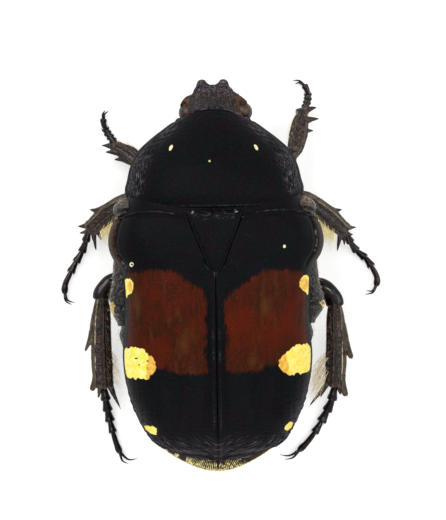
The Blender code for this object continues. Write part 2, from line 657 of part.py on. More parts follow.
def make_pygidium():
    """The last plate of the back, which shows past the wing cases."""
    rings = []
    for share in np.linspace(0, 1, 9):
        y = PYGIDIUM_FRONT + (PYGIDIUM_TIP - PYGIDIUM_FRONT) * math.sin(share * math.pi / 2)
        section = oval(pygidium_half(y), pygidium_top(y), (pygidium_top(y) + pygidium_under(y)) / 2,
                       pygidium_under(y), 3.0, 2.2, 13)
        rings.append([(x, y, z) for x, z in section])
    return solid("pygidium", [loft("plate", rings)])


def main():
    eyes = [eye("eye room", side, GAP) for side in (1, -1)]
    finish(make_head(eyes), "punctured cuticle", HEAD_BROWN, 0.5)
    eyes = [eye("eye room", side, GAP) for side in (1, -1)]
    finish(make_pronotum(eyes), "velvety cuticle", BLACK_VELVET, 0.65)
    for name, side in (("left", 1), ("right", -1)):
        finish(solid(f"eye_{name}", [eye("eye", side)]), "faceted eye", EYE_BROWN, 0.25)
        finish(make_antenna(f"antenna_{name}", side), "smooth cuticle", HEAD_BROWN, 0.4)
        finish(make_elytron(f"elytron_{name}", side), "velvety cuticle", RUSTY_VELVET, 0.65)
    finish(make_scutellum(), "velvety cuticle", BLACK_VELVET, 0.6)
    finish(make_thorax(), "punctured cuticle", BLACK_GLOSS, 0.4)
    finish(make_abdomen(), "smooth cuticle", BLACK_GLOSS, 0.3)
    finish(make_pygidium(), "spotted cuticle", CREAM, 0.6)
    for name, leg in LEGS.items():
        finish(make_femur(name, leg), "polished cuticle", BLACK_GLOSS, 0.25)
        finish(make_tibia(name, leg), "ridged cuticle", BLACK_GLOSS, 0.35)
        finish(make_tarsus(name, leg), "polished cuticle", BLACK_GLOSS, 0.25)


for old in list(bpy.data.objects):
    bpy.data.objects.remove(old)
beetle = bpy.data.collections.new("flower chafer")
bpy.context.scene.collection.children.link(beetle)
main()
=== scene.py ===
# A flower chafer beetle as a museum shows it: skins, markings, hairs and light over its solids.
# Lengths are in millimetres up to the moment a mesh is made. The head points to -Y, the floor is
# z = 0, and side is 1 for the beetle's left, at +X, and -1 for its right.
import itertools
import math

import bmesh
import bpy
import numpy as np
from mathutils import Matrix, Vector
from mathutils.kdtree import KDTree


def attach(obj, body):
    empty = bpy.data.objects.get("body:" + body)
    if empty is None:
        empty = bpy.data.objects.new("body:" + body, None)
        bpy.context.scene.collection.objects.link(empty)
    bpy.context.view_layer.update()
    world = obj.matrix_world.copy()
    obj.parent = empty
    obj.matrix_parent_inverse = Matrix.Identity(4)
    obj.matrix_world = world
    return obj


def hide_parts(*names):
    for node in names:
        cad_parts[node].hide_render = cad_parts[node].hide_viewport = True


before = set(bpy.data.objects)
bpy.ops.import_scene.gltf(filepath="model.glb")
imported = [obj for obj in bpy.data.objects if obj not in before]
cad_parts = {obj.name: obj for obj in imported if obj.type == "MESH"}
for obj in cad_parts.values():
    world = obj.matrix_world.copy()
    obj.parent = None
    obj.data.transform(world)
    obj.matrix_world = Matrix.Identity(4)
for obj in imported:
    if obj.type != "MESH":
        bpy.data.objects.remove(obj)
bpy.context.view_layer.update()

MM = 0.001
PI = math.pi
TAU = 2 * math.pi

# Driving lengths, the same as the solids'
CLYPEUS_TIP = -7.79
PRONOTUM_FRONT = -6.68
PRONOTUM_BACK = -2.72
ELYTRA_FRONT = -2.45
ELYTRA_BACK = 7.42
PYGIDIUM_FRONT = 6.95
PYGIDIUM_TIP = 7.82
THORAX_BACK = 1.88
SHOULDER_FRONT = -2.58
SHOULDER_CREST = 2.5
SHOULDER_SWEEP = 0.14
WING_POWER = 2.7
WING_WALL = 0.16
SIDE_CORNER = 0.28
SIDE_SHOULDER = 0.45
GAP = 0.1
# How round the edges of the wing cases and the scutellum are
EDGE_ROUND = 0.03
# Points of the finer forms, from front to back and across or around
WING_GRID = (329, 241)
SCUTELLUM_GRID = (129, 97)
PRONOTUM_GRID = (231, 400)
HEAD_GRID = (90, 140)
TAIL_GRID = (110, 560)
# The inner skin of a shell has one point for so many of the outer skin
INNER_STEP = 4
# How strongly the skin of an insect bends light
CHITIN_IOR = 1.56


# Smooth functions, noise and pits

def through(*knots):
    """A smooth function through knots of (place, value), level past its two ends."""
    places, values = np.array(knots, float).T
    slopes = np.gradient(values, places)

    def at(place):
        place = np.clip(np.asarray(place, float), places[0], places[-1])
        i = np.clip(np.searchsorted(places, place, side="right") - 1, 0, len(places) - 2)
        step = places[i + 1] - places[i]
        t = (place - places[i]) / step
        rise = t * t * (3 - 2 * t)
        leave = t * (1 - t) ** 2 * step * slopes[i]
        arrive = t * t * (t - 1) * step * slopes[i + 1]
        return values[i] * (1 - rise) + values[i + 1] * rise + leave + arrive

    return at


def ease(value, low, high):
    """0 below low, 1 above high, smooth between. It falls instead where low is above high."""
    t = np.clip((value - low) / (high - low), 0, 1)
    return t * t * (3 - 2 * t)


def hump(value, middle, half):
    """A bell: 1 in the middle, about a third at half."""
    return np.exp(-((value - middle) / half) ** 2)


# Large primes that scatter the cells of space over a table of that many numbers
HASH = np.array((73856093, 19349663, 83492791))
TABLE = 4096


def cell_number(cells):
    """A number below TABLE for each whole-numbered cell."""
    return np.bitwise_xor.reduce(cells * HASH[:cells.shape[-1]], axis=-1) % TABLE


def noise(points, size, seed):
    """Smooth noise from -1 to 1 at points, in lumps of about size."""
    table = np.random.default_rng(seed).uniform(-1, 1, TABLE)
    place = points / size
    base = np.floor(place).astype(np.int64)
    part = place - base
    part = part * part * (3 - 2 * part)
    total = np.zeros(points.shape[:-1])
    for corner in itertools.product((0, 1), repeat=points.shape[-1]):
        corner = np.array(corner)
        weight = np.prod(np.where(corner == 1, part, 1 - part), axis=-1)
        total += weight * table[cell_number(base + corner)]
    return total


def pits(points, size, seed, wander=0.8):
    """How far each point is from the nearest pit's middle, in sizes, and that pit's number."""
    rng = np.random.default_rng(seed)
    table = 0.5 + wander * rng.uniform(-0.5, 0.5, (TABLE, points.shape[-1]))
    place = points / size
    base = np.floor(place).astype(np.int64)
    best = np.full(points.shape[:-1], 9.0)
    which = np.zeros(points.shape[:-1], np.int64)
    for step in itertools.product((-1, 0, 1), repeat=points.shape[-1]):
        cells = base + np.array(step)
        number = cell_number(cells)
        away = np.sqrt(((cells + table[number] - place) ** 2).sum(axis=-1))
        nearer = away < best
        best = np.where(nearer, away, best)
        which = np.where(nearer, number, which)
    return best, which / TABLE


def stack(x, y, *more):
    """Numbers set side by side as points."""
    return np.stack(np.broadcast_arrays(x, y, *more), axis=-1)


def unit(vectors):
    """The same directions with a length of 1."""
    return vectors / np.maximum(np.linalg.norm(vectors, axis=-1, keepdims=True), 1e-9)


def within(x, y, outline, soft):
    """1 inside an outline seen from above and 0 outside, falling over an edge as wide as soft."""
    outline = np.array(outline, float)
    nearest = np.full(x.shape, 99.0)
    inside = np.zeros(x.shape, bool)
    for (ax, ay), (bx, by) in zip(outline, np.roll(outline, -1, axis=0)):
        ux, uy = bx - ax, by - ay
        t = np.clip(((x - ax) * ux + (y - ay) * uy) / (ux * ux + uy * uy), 0, 1)
        nearest = np.minimum(nearest, np.hypot(x - ax - t * ux, y - ay - t * uy))
        if ay != by:
            inside ^= ((ay > y) != (by > y)) & (x < ax + (y - ay) * ux / uy)
    return np.clip(0.5 + np.where(inside, nearest, -nearest) / soft, 0, 1)


# Half widths and heights along the body, the same as the solids'

head_half = through((-7.79, 0.52), (-7.7, 0.66), (-7.45, 0.8), (-7.2, 0.98), (-6.95, 1.2),
                    (-6.6, 1.3), (-6.2, 1.32), (-5.8, 1.25))
head_top = through((-7.79, 3.4), (-7.4, 3.62), (-6.9, 3.98), (-6.5, 4.18), (-5.8, 4.22))
head_under = through((-7.79, 3.15), (-7.4, 2.9), (-6.9, 2.7), (-6.4, 2.65), (-5.8, 2.8))
head_side = through((-7.79, 3.26), (-7.2, 3.3), (-6.4, 3.45), (-5.8, 3.45))
pronotum_half = through((-6.27, 1.42), (-6.03, 1.78), (-5.79, 2.1), (-5.55, 2.42), (-5.31, 2.7),
                        (-5.07, 2.94), (-4.7, 3.18), (-4.3, 3.35), (-3.8, 3.47), (-3.4, 3.56),
                        (-3.2, 3.52), (-3.1, 3.42))
pronotum_top = through((-6.68, 4.38), (-6.2, 4.86), (-5.5, 5.44), (-4.7, 6.0), (-3.8, 6.38),
                       (-3.1, 6.5), (-2.72, 6.46))
pronotum_side = through((-6.68, 3.6), (-5.8, 3.5), (-4.8, 3.55), (-3.8, 3.8), (-2.72, 4.1))
pronotum_under = through((-6.68, 2.8), (-6.0, 2.3), (-5.2, 1.75), (-4.4, 1.45), (-3.4, 1.4),
                         (-2.72, 1.5))
elytra_half = through((-3.3, 3.6), (-2.6, 3.88), (-2.15, 4.08), (-1.7, 4.21), (-1.2, 4.25),
                      (-0.75, 4.12), (-0.36, 3.85), (0.05, 3.7), (0.6, 3.65), (1.6, 3.64),
                      (2.4, 3.68), (3.2, 3.75), (3.9, 3.7), (4.6, 3.57), (5.2, 3.4), (5.7, 3.2),
                      (6.2, 2.92), (6.55, 2.62), (6.85, 2.24), (7.1, 1.74), (7.28, 1.22),
                      (7.38, 0.72), (7.42, 0.3))
elytra_top = through((-3.3, 6.35), (-2.5, 6.58), (-1.5, 6.78), (0.0, 6.9), (1.5, 6.86),
                     (3.0, 6.62), (4.5, 6.08), (5.5, 5.5), (6.3, 4.9), (6.9, 4.35), (7.25, 3.95),
                     (7.42, 3.72))
elytra_side = through((-3.3, 4.1), (-2.0, 4.02), (-1.1, 4.05), (-0.3, 4.3), (0.5, 4.42),
                      (1.6, 4.25), (3.0, 3.98), (4.5, 3.76), (6.0, 3.56), (7.42, 3.48))
thorax_half = through((-3.3, 3.2), (-2.7, 3.72), (-2.1, 3.95), (-1.2, 4.02), (-0.4, 4.08),
                      (0.3, 4.14), (1.0, 4.24), (1.5, 4.14), (1.88, 3.96))
abdomen_half = through((1.98, 3.92), (2.4, 3.88), (2.9, 3.74), (3.5, 3.66), (4.2, 3.55),
                       (5.0, 3.28), (5.7, 2.95), (6.3, 2.55), (6.85, 2.1))
belly = through((-3.3, 1.6), (-2.4, 1.4), (-1.0, 1.3), (1.0, 1.32), (2.5, 1.42), (4.0, 1.6),
                (5.2, 1.9), (6.1, 2.3), (6.85, 2.75))
pygidium_half = through((6.95, 2.06), (7.1, 1.88), (7.3, 1.58), (7.5, 1.2), (7.68, 0.76),
                        (7.78, 0.4), (7.82, 0.16))
pygidium_top = through((6.95, 3.42), (7.42, 3.36), (7.7, 3.25), (7.82, 3.1))
pygidium_under = through((6.95, 2.2), (7.3, 2.4), (7.6, 2.68), (7.82, 2.98))
# Half width of the scutellum, with its blunt tip, which the wing cases close behind
scutellum_half = through((-2.6, 1.1), (-1.6, 0.78), (-0.8, 0.49), (-0.42, 0.35), (-0.25, 0.25),
                         (-0.14, 0.13), (-0.1, 0.02))


# Meshes

def grid_faces(rows, columns, closed, start=0):
    """The quads of a grid of points, kept row by row, joined round its columns where closed."""
    r = np.arange(rows - 1)[:, None] * columns
    c = np.arange(columns if closed else columns - 1)[None, :]
    n = (c + 1) % columns
    quads = np.stack([r + c, r + n, r + columns + n, r + columns + c], axis=-1)
    return (quads.reshape(-1, 4) + start).tolist()


def closed_loft(grid):
    """Points and faces of a closed form through rings of points, with a fan over either end."""
    rows, columns = grid.shape[:2]
    points = np.concatenate([grid.reshape(-1, 3), grid[:1].mean(axis=1), grid[-1:].mean(axis=1)])
    faces = grid_faces(rows, columns, True)
    last = (rows - 1) * columns
    for c in range(columns):
        n = (c + 1) % columns
        faces += [(n, c, len(points) - 2), (last + c, last + n, len(points) - 1)]
    return points, faces


def joined(parts):
    """Several closed forms as one list of points and one of faces that all look outward."""
    points, faces, count = [], [], 0
    for some_points, some_faces in parts:
        points.append(some_points)
        faces += [tuple(i + count for i in face) for face in outward(some_points, some_faces)]
        count += len(some_points)
    return np.concatenate(points), faces


def outward(points, faces):
    """The faces turned so that the form's volume is positive."""
    volume = 0.0
    for k in (1, 2):
        some = [(face[0], face[k], face[k + 1]) for face in faces if len(face) > k + 1]
        a, b, c = points[np.array(some, int).reshape(-1, 3)].transpose(1, 0, 2)
        volume += (a * np.cross(b, c)).sum()
    return faces if volume > 0 else [tuple(face[::-1]) for face in faces]


def placed(name, data):
    """A new object in the scene, at the origin."""
    made = bpy.data.objects.new(name, data)
    bpy.context.scene.collection.objects.link(made)
    return made


def keep_mark(mesh, label, values, kind="FLOAT"):
    """Numbers, or directions, kept on a mesh's points, with zeros past the last one given."""
    layer = mesh.attributes.new(label, kind, "POINT")
    size, key = (1, "value") if kind == "FLOAT" else (3, "vector")
    values = np.ravel(values).astype(np.float32)
    rest = np.zeros(size * len(mesh.vertices) - len(values), np.float32)
    layer.data.foreach_set(key, np.concatenate([values, rest]))


def read_all(items, key, size, kind=float):
    """The numbers that a mesh keeps on all its points or corners."""
    values = np.empty(len(items) * size, kind)
    items.foreach_get(key, values)
    return values


def raw_mesh(name, points, faces, scale):
    """A mesh of those points and faces, drawn to scale."""
    mesh = bpy.data.meshes.new(name)
    mesh.from_pydata((points * scale).tolist(), [], faces)
    mesh.update()
    return mesh


def piece(name, form, material, node, marks=None):
    """One finished piece of the beetle, which rides on its body and may stand for a CAD node."""
    points, faces = form
    mesh = raw_mesh(name, points, outward(points, faces), MM)
    mesh.shade_smooth()
    for label, values in (marks or {}).items():
        keep_mark(mesh, label, values)
    mesh.materials.append(material)
    made = placed(name, mesh)
    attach(made, "root")
    if node:
        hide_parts(node)


def fused(parts, voxel, smoothing):
    """Closed forms melted into one skin, with rounded roots: its points, faces and normals."""
    lump = placed("parts to fuse", raw_mesh("parts to fuse", *joined(parts), 1.0))
    melt = lump.modifiers.new("melt", "REMESH")
    melt.mode = "VOXEL"
    melt.voxel_size = voxel
    soften = lump.modifiers.new("soften", "SMOOTH")
    soften.factor = 0.5
    soften.iterations = smoothing
    graph = bpy.context.evaluated_depsgraph_get()
    skin = bpy.data.meshes.new_from_object(lump.evaluated_get(graph), depsgraph=graph)
    points = read_all(skin.vertices, "co", 3).reshape(-1, 3)
    normals = read_all(skin.vertex_normals, "vector", 3).reshape(-1, 3)
    faces = read_all(skin.loops, "vertex_index", 1, np.int32).reshape(-1, 4).tolist()
    bpy.data.objects.remove(lump)
    bpy.data.meshes.remove(skin)
    return points, faces, normals


def grid_normals(grid, closed):
    """Unit normals of a grid of points, pointing away from the middle of the body."""
    if closed:
        across = np.roll(grid, -1, axis=1) - np.roll(grid, 1, axis=1)
    else:
        across = np.gradient(grid, axis=1)
    normals = np.cross(np.gradient(grid, axis=0), across)
    normals /= np.maximum(np.linalg.norm(normals, axis=-1, keepdims=True), 1e-12)
    away = grid - grid.reshape(-1, 3).mean(axis=0)
    return normals if (normals * away).sum() > 0 else -normals


def raised(points, normals, height):
    """Points moved out along their normals by a height each."""
    return points + normals * height[..., None]


def run_along(grid, axis):
    """How far each point of a grid lies along its row or column, from the first point."""
    steps = np.linalg.norm(np.diff(grid, axis=axis), axis=-1)
    zero = np.zeros_like(np.take(steps, [0], axis=axis))
    return np.cumsum(np.concatenate([zero, steps], axis=axis), axis=axis)


# Limbs and other round forms

def smooth_path(points, count):
    """Points spaced evenly along a smooth line through the given ones."""
    points = np.array(points, float)
    far = run_along(points, 0)
    at = np.linspace(0, far[-1], count)
    if len(points) == 2:
        return points[0] + (points[1] - points[0]) * (at / far[-1])[:, None]
    return np.stack([through(*zip(far, points[:, k]))(at) for k in range(3)], axis=-1)


def limb_axes(path, ends=None):
    """Unit vectors ahead, level across and up at each point of a path. ends is the way ahead
    at its first and last point, where that is given."""
    ahead = np.gradient(path, axis=0)
    if ends is not None:
        ahead[0] = ahead[-1] = ends
    ahead /= np.linalg.norm(ahead, axis=1, keepdims=True)
    across = np.cross(ahead, (0.0, 0.0, 1.0))
    across /= np.maximum(np.linalg.norm(across, axis=1, keepdims=True), 1e-9)
    return ahead, across, np.cross(across, ahead)


def limb(path, wide, thick, around, end=None, ridge=0.0, ends=None):
    """Rings of points along a path, wide and thick being half sizes along it, drawn in to round
    ends over a length of end. ridge is how high a shin's ridges stand, as a share."""
    if end:
        wide, thick = rounded(path, wide, end), rounded(path, thick, end)
    ahead, across, up = limb_axes(path, ends)
    angle = TAU * (np.arange(around) + 0.5) / around
    swell = 1 + ridge * np.cos(SHIN_RIDGES * angle)
    x = np.asarray(wide)[:, None] * np.cos(angle) * swell
    z = np.asarray(thick)[:, None] * np.sin(angle) * swell
    return path[:, None] + x[..., None] * across[:, None] + z[..., None] * up[:, None]


def rounded(path, sizes, end):
    """Sizes drawn in to a round end over the last stretch, and over the first as well."""
    far = run_along(path, 0)
    near = np.minimum(far, far[-1] - far)
    return np.asarray(sizes) * np.sqrt(np.clip(1 - (1 - np.clip(near / end, 0, 1)) ** 2, 0.01, 1))


def spike(points, radius, around, count, tip, power=1.35):
    """A tapered tooth, spur or claw along a path. A low power makes it slender sooner."""
    path = smooth_path(points, count)
    sizes = radius * (1 - (1 - tip) * np.linspace(0, 1, count) ** power)
    return closed_loft(limb(path, sizes, sizes, around, radius * tip if tip > 0.3 else None))


def ellipsoid(centre, radii, rows=24, columns=36):
    """A closed egg shape."""
    rise = np.linspace(-PI / 2, PI / 2, rows + 2)[1:-1, None]
    turn = TAU * np.arange(columns)[None, :] / columns
    ball = stack(np.cos(rise) * np.cos(turn), np.cos(rise) * np.sin(turn), np.sin(rise) + 0 * turn)
    return closed_loft(ball * np.array(radii) + np.array(centre))


def bulge(share, power):
    """A sine or cosine drawn out so that the curve of its circle turns boxy."""
    return np.sign(share) * np.abs(share) ** (2 / power)


def section(half, top, side, under, upper_power, lower_power, around):
    """x and z round closed sections whose widest level is side. Sizes may be columns of numbers."""
    angle = TAU * np.arange(around) / around
    c, s = np.cos(angle), np.sin(angle)
    power = np.where(s >= 0, upper_power, lower_power)
    reach = np.where(s >= 0, top - side, side - under)
    return half * bulge(c, power), side + reach * bulge(s, power), angle


# Colours and materials

def linear(hexed):
    """An sRGB hex colour as linear RGBA."""
    values = [int(hexed[i:i + 2], 16) / 255 for i in (0, 2, 4)]
    return (*[v / 12.92 if v <= 0.04045 else ((v + 0.055) / 1.055) ** 2.4 for v in values], 1)


def add(tree, kind, inputs=None, **settings):
    """One node with its settings, and its inputs as values or as other nodes' outputs."""
    made = tree.nodes.new(kind)
    for key, value in settings.items():
        setattr(made, key, value)
    for key, value in (inputs or {}).items():
        socket = made.inputs[key]
        if isinstance(value, bpy.types.NodeSocket):
            tree.links.new(value, socket)
        else:
            socket.default_value = value
    return made


def cuticle(name, roughness, specular, more=None):
    """A new material and its tree: insect cuticle, never metallic."""
    material = bpy.data.materials.new(name)
    material.use_nodes = True
    sockets = material.node_tree.nodes["Principled BSDF"].inputs
    settings = {"Roughness": roughness, "IOR": CHITIN_IOR, "Specular IOR Level": specular}
    for label, value in {**settings, **(more or {})}.items():
        sockets[label].default_value = value
    return material, material.node_tree


def position(tree, scale=(1.0, 1.0, 1.0)):
    """Object coordinates in millimetres, drawn out along an axis where its scale is under 1."""
    coords = add(tree, "ShaderNodeTexCoord")
    sizes = tuple(s / MM for s in scale)
    mapping = add(tree, "ShaderNodeMapping", {"Vector": coords.outputs["Object"], "Scale": sizes})
    return mapping.outputs["Vector"]


def mottled(tree, where, size, first, second, low=0.4, high=0.6, detail=3.0, rough=0.55):
    """Two colours in clouds of about size, in millimetres."""
    cloud = add(tree, "ShaderNodeTexNoise",
                {"Vector": where, "Scale": 1 / size, "Detail": detail, "Roughness": rough})
    return laid(tree, cloud.outputs["Fac"], first, second, low, high)


def laid(tree, amount, under, over, low=0.0, high=1.0):
    """One colour laid over another by an amount, or by a mark kept on the piece's points."""
    if isinstance(amount, str):
        amount = add(tree, "ShaderNodeAttribute", attribute_name=amount).outputs["Fac"]
    ramp = add(tree, "ShaderNodeMapRange", {"Value": amount, "From Min": low, "From Max": high},
               interpolation_type="SMOOTHSTEP")
    under, over = [linear(c) if isinstance(c, str) else c for c in (under, over)]
    mixed = add(tree, "ShaderNodeMix", {0: ramp.outputs[0], 6: under, 7: over}, data_type="RGBA")
    return mixed.outputs[2]


def bumped(material, colour, where=None, grains=(), heights=()):
    """The material with its colour and its chained bumps: finished heights first, then grains
    of (size, depth) in millimetres."""
    tree = material.node_tree
    for size, depth in grains:
        cloud = add(tree, "ShaderNodeTexNoise", {"Vector": where, "Scale": 1 / size, "Detail": 3.0})
        heights = [*heights, (cloud.outputs["Fac"], depth)]
    links = {}
    for height, depth in heights:
        bump = add(tree, "ShaderNodeBump",
                   {"Height": height, "Distance": depth * MM, "Strength": 1.0, **links})
        links = {"Normal": bump.outputs["Normal"]}
    for label, socket in {"Base Color": colour, **links}.items():
        tree.links.new(socket, tree.nodes["Principled BSDF"].inputs[label])
    return material


def velvet_material():
    """Matt chafer cuticle under a velvety bloom, black with a rusty panel and chalky yellow spots.
    The bloom scatters light, so the black stays deep with only a broad, weak shine."""
    material, tree = cuticle("velvety chafer cuticle", 0.5, 0.035)
    where = position(tree)
    drawn = position(tree, (1.0, 0.25, 1.0))
    kept = {label: add(tree, "ShaderNodeAttribute", attribute_name=label).outputs["Fac"]
            for label in ("rust", "inward", "along")}
    # Black that leans to blue-green and to purple in soft clouds, with painted glints of its nap:
    # fine specks of lighter colour
    deep = mottled(tree, where, 0.7, "040708", "08050A", 0.42, 0.58)
    glint = mottled(tree, where, 0.7, "131C1D", "1D1821", 0.42, 0.58)
    nap = add(tree, "ShaderNodeTexNoise", {"Vector": where, "Scale": 1 / 0.05, "Roughness": 0.7})
    black = laid(tree, nap.outputs["Fac"], deep, glint, 0.54, 0.74)
    # The rusty panel: hair-thin streaks of red and olive brown, about 0.1 mm wide, drawn out
    rust = mottled(tree, drawn, 0.12, "3D1004", "281204", 0.36, 0.62, 4.0, 0.65)
    rust = mottled(tree, drawn, 0.5, rust, "42220E", 0.5, 0.74)
    rust = mottled(tree, where, 1.3, rust, "451104", 0.4, 0.75, 1.0)
    # Painted glints of the nap on the rust too: specks of lighter brown
    rust = laid(tree, nap.outputs["Fac"], rust, "6A4428", 0.6, 0.82)
    fray = add(tree, "ShaderNodeTexNoise",
               {"Vector": drawn, "Scale": 1 / 0.1, "Detail": 3.0, "Roughness": 0.7})
    edge = add(tree, "ShaderNodeMath", {0: kept["rust"], 1: fray.outputs["Fac"]},
               operation="ADD")
    colour = laid(tree, edge.outputs["Value"], black, rust, 0.78, 1.24)
    # Flanks and rims: fine pale scratches along the margin, 0.05 mm apart, over grey and brown
    place = add(tree, "ShaderNodeCombineXYZ", {"X": kept["inward"], "Y": kept["along"]})
    stretched = add(tree, "ShaderNodeMapping",
                    {"Vector": place.outputs["Vector"], "Scale": (1.0, 0.18, 1.0)})
    scratched = mottled(tree, stretched.outputs["Vector"], 0.05, "0F0C12", "656067",
                        0.5, 0.68, 3.0, 0.6)
    brown = mottled(tree, where, 0.08, "100602", "4E2A10", 0.42, 0.68)
    pale = mottled(tree, where, 0.12, "181718", "7C767C", 0.42, 0.6, 3.0, 0.7)
    for mark, over in (("flank", scratched), ("brown", brown), ("rim", pale)):
        colour = laid(tree, mark, colour, over)
    # Chalky spots: pale yellow, golden in places, with fine dark dots. Small ones are cream
    chalk = mottled(tree, where, 0.25, "DFD24A", "E5DE90", 0.35, 0.68)
    gold = mottled(tree, where, 0.18, "C8922A", "D6B05A", 0.35, 0.65)
    chalk = laid(tree, "gold", chalk, gold, 0.2, 0.8)
    chalk = laid(tree, "cream", chalk, mottled(tree, where, 0.1, "C9BE8C", "E9E2BE"))
    chalk = mottled(tree, where, 0.07, chalk, "7A621C", 0.7, 0.76, 1.0)
    colour = laid(tree, "chalk", colour, chalk, 0.42, 0.58)
    # Velvet nap of about 0.03 mm, drawn coarser than the real 0.01 mm so that it shows
    return bumped(material, colour, where, [(0.16, 0.012), (0.035, 0.008)])


def pitted_material(name, dark, mid, waxy, pit_size, roughness, specular):
    """Coarsely pitted chafer cuticle: satin black-brown, each pit's middle painted black as painted
    shade with the skin round it paler, and a grey waxy bloom where the skin is hoary, which on the
    head's top also stands for painted glints."""
    material, tree = cuticle(name, roughness, specular)
    where = position(tree)
    colour = mottled(tree, where, 0.45, dark, mid, 0.35, 0.65)
    colour = laid(tree, "warm", colour, mottled(tree, where, 0.15, "1A0C06", "583A18"))
    bloom = mottled(tree, where, 0.05, colour, waxy, 0.5, 0.72, 3.0, 0.6)
    colour = laid(tree, "hoary", colour, bloom)
    # Round pits of the real size, one in each cell, with painted shade that darkens their middles
    cell = add(tree, "ShaderNodeTexVoronoi",
               {"Vector": where, "Scale": 1 / pit_size, "Randomness": 0.8})
    hollow = add(tree, "ShaderNodeMapRange",
                 {"Value": cell.outputs["Distance"], "From Min": 0.06, "From Max": 0.4},
                 interpolation_type="SMOOTHSTEP").outputs[0]
    # Painted shade: the pits' middles, and the pits and seams marked on the piece, are darkened
    colour = laid(tree, hollow, dark, colour)
    colour = laid(tree, "pit", colour, dark)
    cream = mottled(tree, where, 0.09, "6E5A22", "DEC26A", 0.4, 0.62)
    colour = laid(tree, "chalk", colour, cream, 0.42, 0.58)
    return bumped(material, colour, where, [(0.12, 0.014)], [(hollow, 0.012)])


def polished_material():
    """Polished black cuticle of thighs and feet: a hard clear surface over near-black, mottled
    with dark brown."""
    material, tree = cuticle("polished black cuticle", 0.2, 0.18,
                             {"Coat Weight": 0.1, "Coat Roughness": 0.08})
    where = position(tree)
    colour = mottled(tree, where, 0.35, "070405", "20110A", 0.4, 0.68)
    return bumped(material, colour, where, [(0.09, 0.006)])


def shin_material():
    """Ridged black-brown cuticle of the shins: one ridge worn pale, since dust and wear lighten
    what stands out, an olive outer blade, and pits in the grooves painted black as painted shade."""
    material, tree = cuticle("ridged shin cuticle", 0.27, 0.3)
    where = position(tree)
    colour = mottled(tree, where, 0.16, "070302", "34180A", 0.42, 0.68)
    colour = laid(tree, "blade", colour, mottled(tree, where, 0.3, "241A0E", "45371E", 0.35, 0.65))
    # Painted shade: the pits in the grooves are darkened to black
    colour = laid(tree, "pit", colour, "050303")
    colour = laid(tree, "ridge", colour, mottled(tree, where, 0.2, "6E5E40", "C2B28E"))
    return bumped(material, colour, where, [(0.05, 0.01)])


def eye_material():
    """Compound eye: clear glossy facets over golden brown, with painted shade that darkens the
    grooves between them.
    """
    material, tree = cuticle("compound eye", 0.28, 0.3,
                             {"Coat Weight": 0.1, "Coat Roughness": 0.12})
    glow = mottled(tree, position(tree), 0.3, "1C100A", "4A2E14", 0.4, 0.65)
    # Painted shade: near-black where the facet mark falls off into the grooves
    return bumped(material, laid(tree, "facet", "0A0605", glow, 0.1, 0.6))


def rim_material():
    """Tail plate: black cuticle with a cream-yellow chalky bloom, scratched through in rays."""
    material, tree = cuticle("chalky tail plate", 0.6, 0.15)
    where = position(tree)
    chalk = mottled(tree, where, 0.08, "7E6C3C", "E6DA98", 0.38, 0.62)
    dark = mottled(tree, where, 0.1, "110B09", "3A281C", 0.4, 0.65)
    return bumped(material, laid(tree, "ray", chalk, dark, 0.38, 0.6), where, [(0.08, 0.01)])


def hair_material(name, root, tip):
    """Insect hair: clear chitin that lets light through and shines along its length."""
    material, tree = cuticle(name, 0.38, 0.4,
                             {"Subsurface Weight": 0.1, "Subsurface Scale": 0.05 * MM})
    return bumped(material, mottled(tree, position(tree), 0.12, root, tip, 0.35, 0.65, 2.0))


VELVET = velvet_material()
HEAD_SKIN = pitted_material("pitted head cuticle", "080506", "1C1418", "807488",
                            pit_size=0.085, roughness=0.36, specular=0.2)
FLANK_SKIN = pitted_material("pitted flank cuticle", "080707", "191615", "7E786E",
                             pit_size=0.13, roughness=0.36, specular=0.25)
POLISHED = polished_material()
SHIN = shin_material()
EYE = eye_material()
RIM = rim_material()
GOLD_HAIR = hair_material("golden hair", "FFE683", "FFF9D0")
BROWN_HAIR = hair_material("brown hair", "5E4022", "A8865A")
TAN_HAIR = hair_material("tan hair", "F2DDBA", "FFF6E6")
PALE_HAIR = hair_material("pale hair", "A8A290", "E0DCCE")


# Wing cases

def dome(angle, y):
    """x and z on the arched back of the closed wing cases, at an angle up from their edge."""
    side = elytra_side(y)
    rise = bulge(np.abs(np.sin(angle)), WING_POWER)
    return elytra_half(y) * bulge(np.cos(angle), WING_POWER), side + (elytra_top(y) - side) * rise


def even_rows(first, last, half_at, count):
    """Places along the body, closer where the outline turns in."""
    fine = np.linspace(first, last, 3000)
    run = run_along(stack(fine, half_at(fine)), 0)
    return np.interp(np.linspace(0, run[-1], count), run, fine)


def even_angles(y, inner, columns):
    """For each row, angles spaced evenly over the arch from its edge to where x is inner."""
    dense = np.linspace(0, PI / 2, 500)
    x, z = dome(dense[None, :], y[:, None])
    angles = []
    for row_x, run, stop_x in zip(x, run_along(stack(x, z), 1), inner):
        stop = np.interp(-stop_x, -row_x, run)
        angles.append(np.interp(np.linspace(0, stop, columns), run, dense))
    return np.array(angles)


# Half of the gap in which the wing cases meet
SUTURE_GAP = 0.003


def front_edge(x):
    """How far forward a wing case reaches at a distance from the middle."""
    return SHOULDER_FRONT + SHOULDER_SWEEP * (x - SHOULDER_CREST) ** 2


def wing_grid(rows, columns):
    """Points over one wing case, which begin at the shoulder's curved front edge."""
    y = even_rows(ELYTRA_FRONT, ELYTRA_BACK, elytra_half, rows)
    inner = np.where(y > -0.09, SUTURE_GAP, np.maximum(scutellum_half(y) + 0.02, SUTURE_GAP))
    angle = even_angles(y, inner, columns)
    place = np.repeat(y[:, None], columns, axis=1)
    fade = np.clip(1 - (y - y[0]) / 1.6, 0, 1)[:, None] ** 2
    for _ in range(2):
        x, z = dome(angle, place)
        place = y[:, None] + (front_edge(x) - y[0]) * fade
    x, z = dome(angle, place)
    return stack(x, place, z)


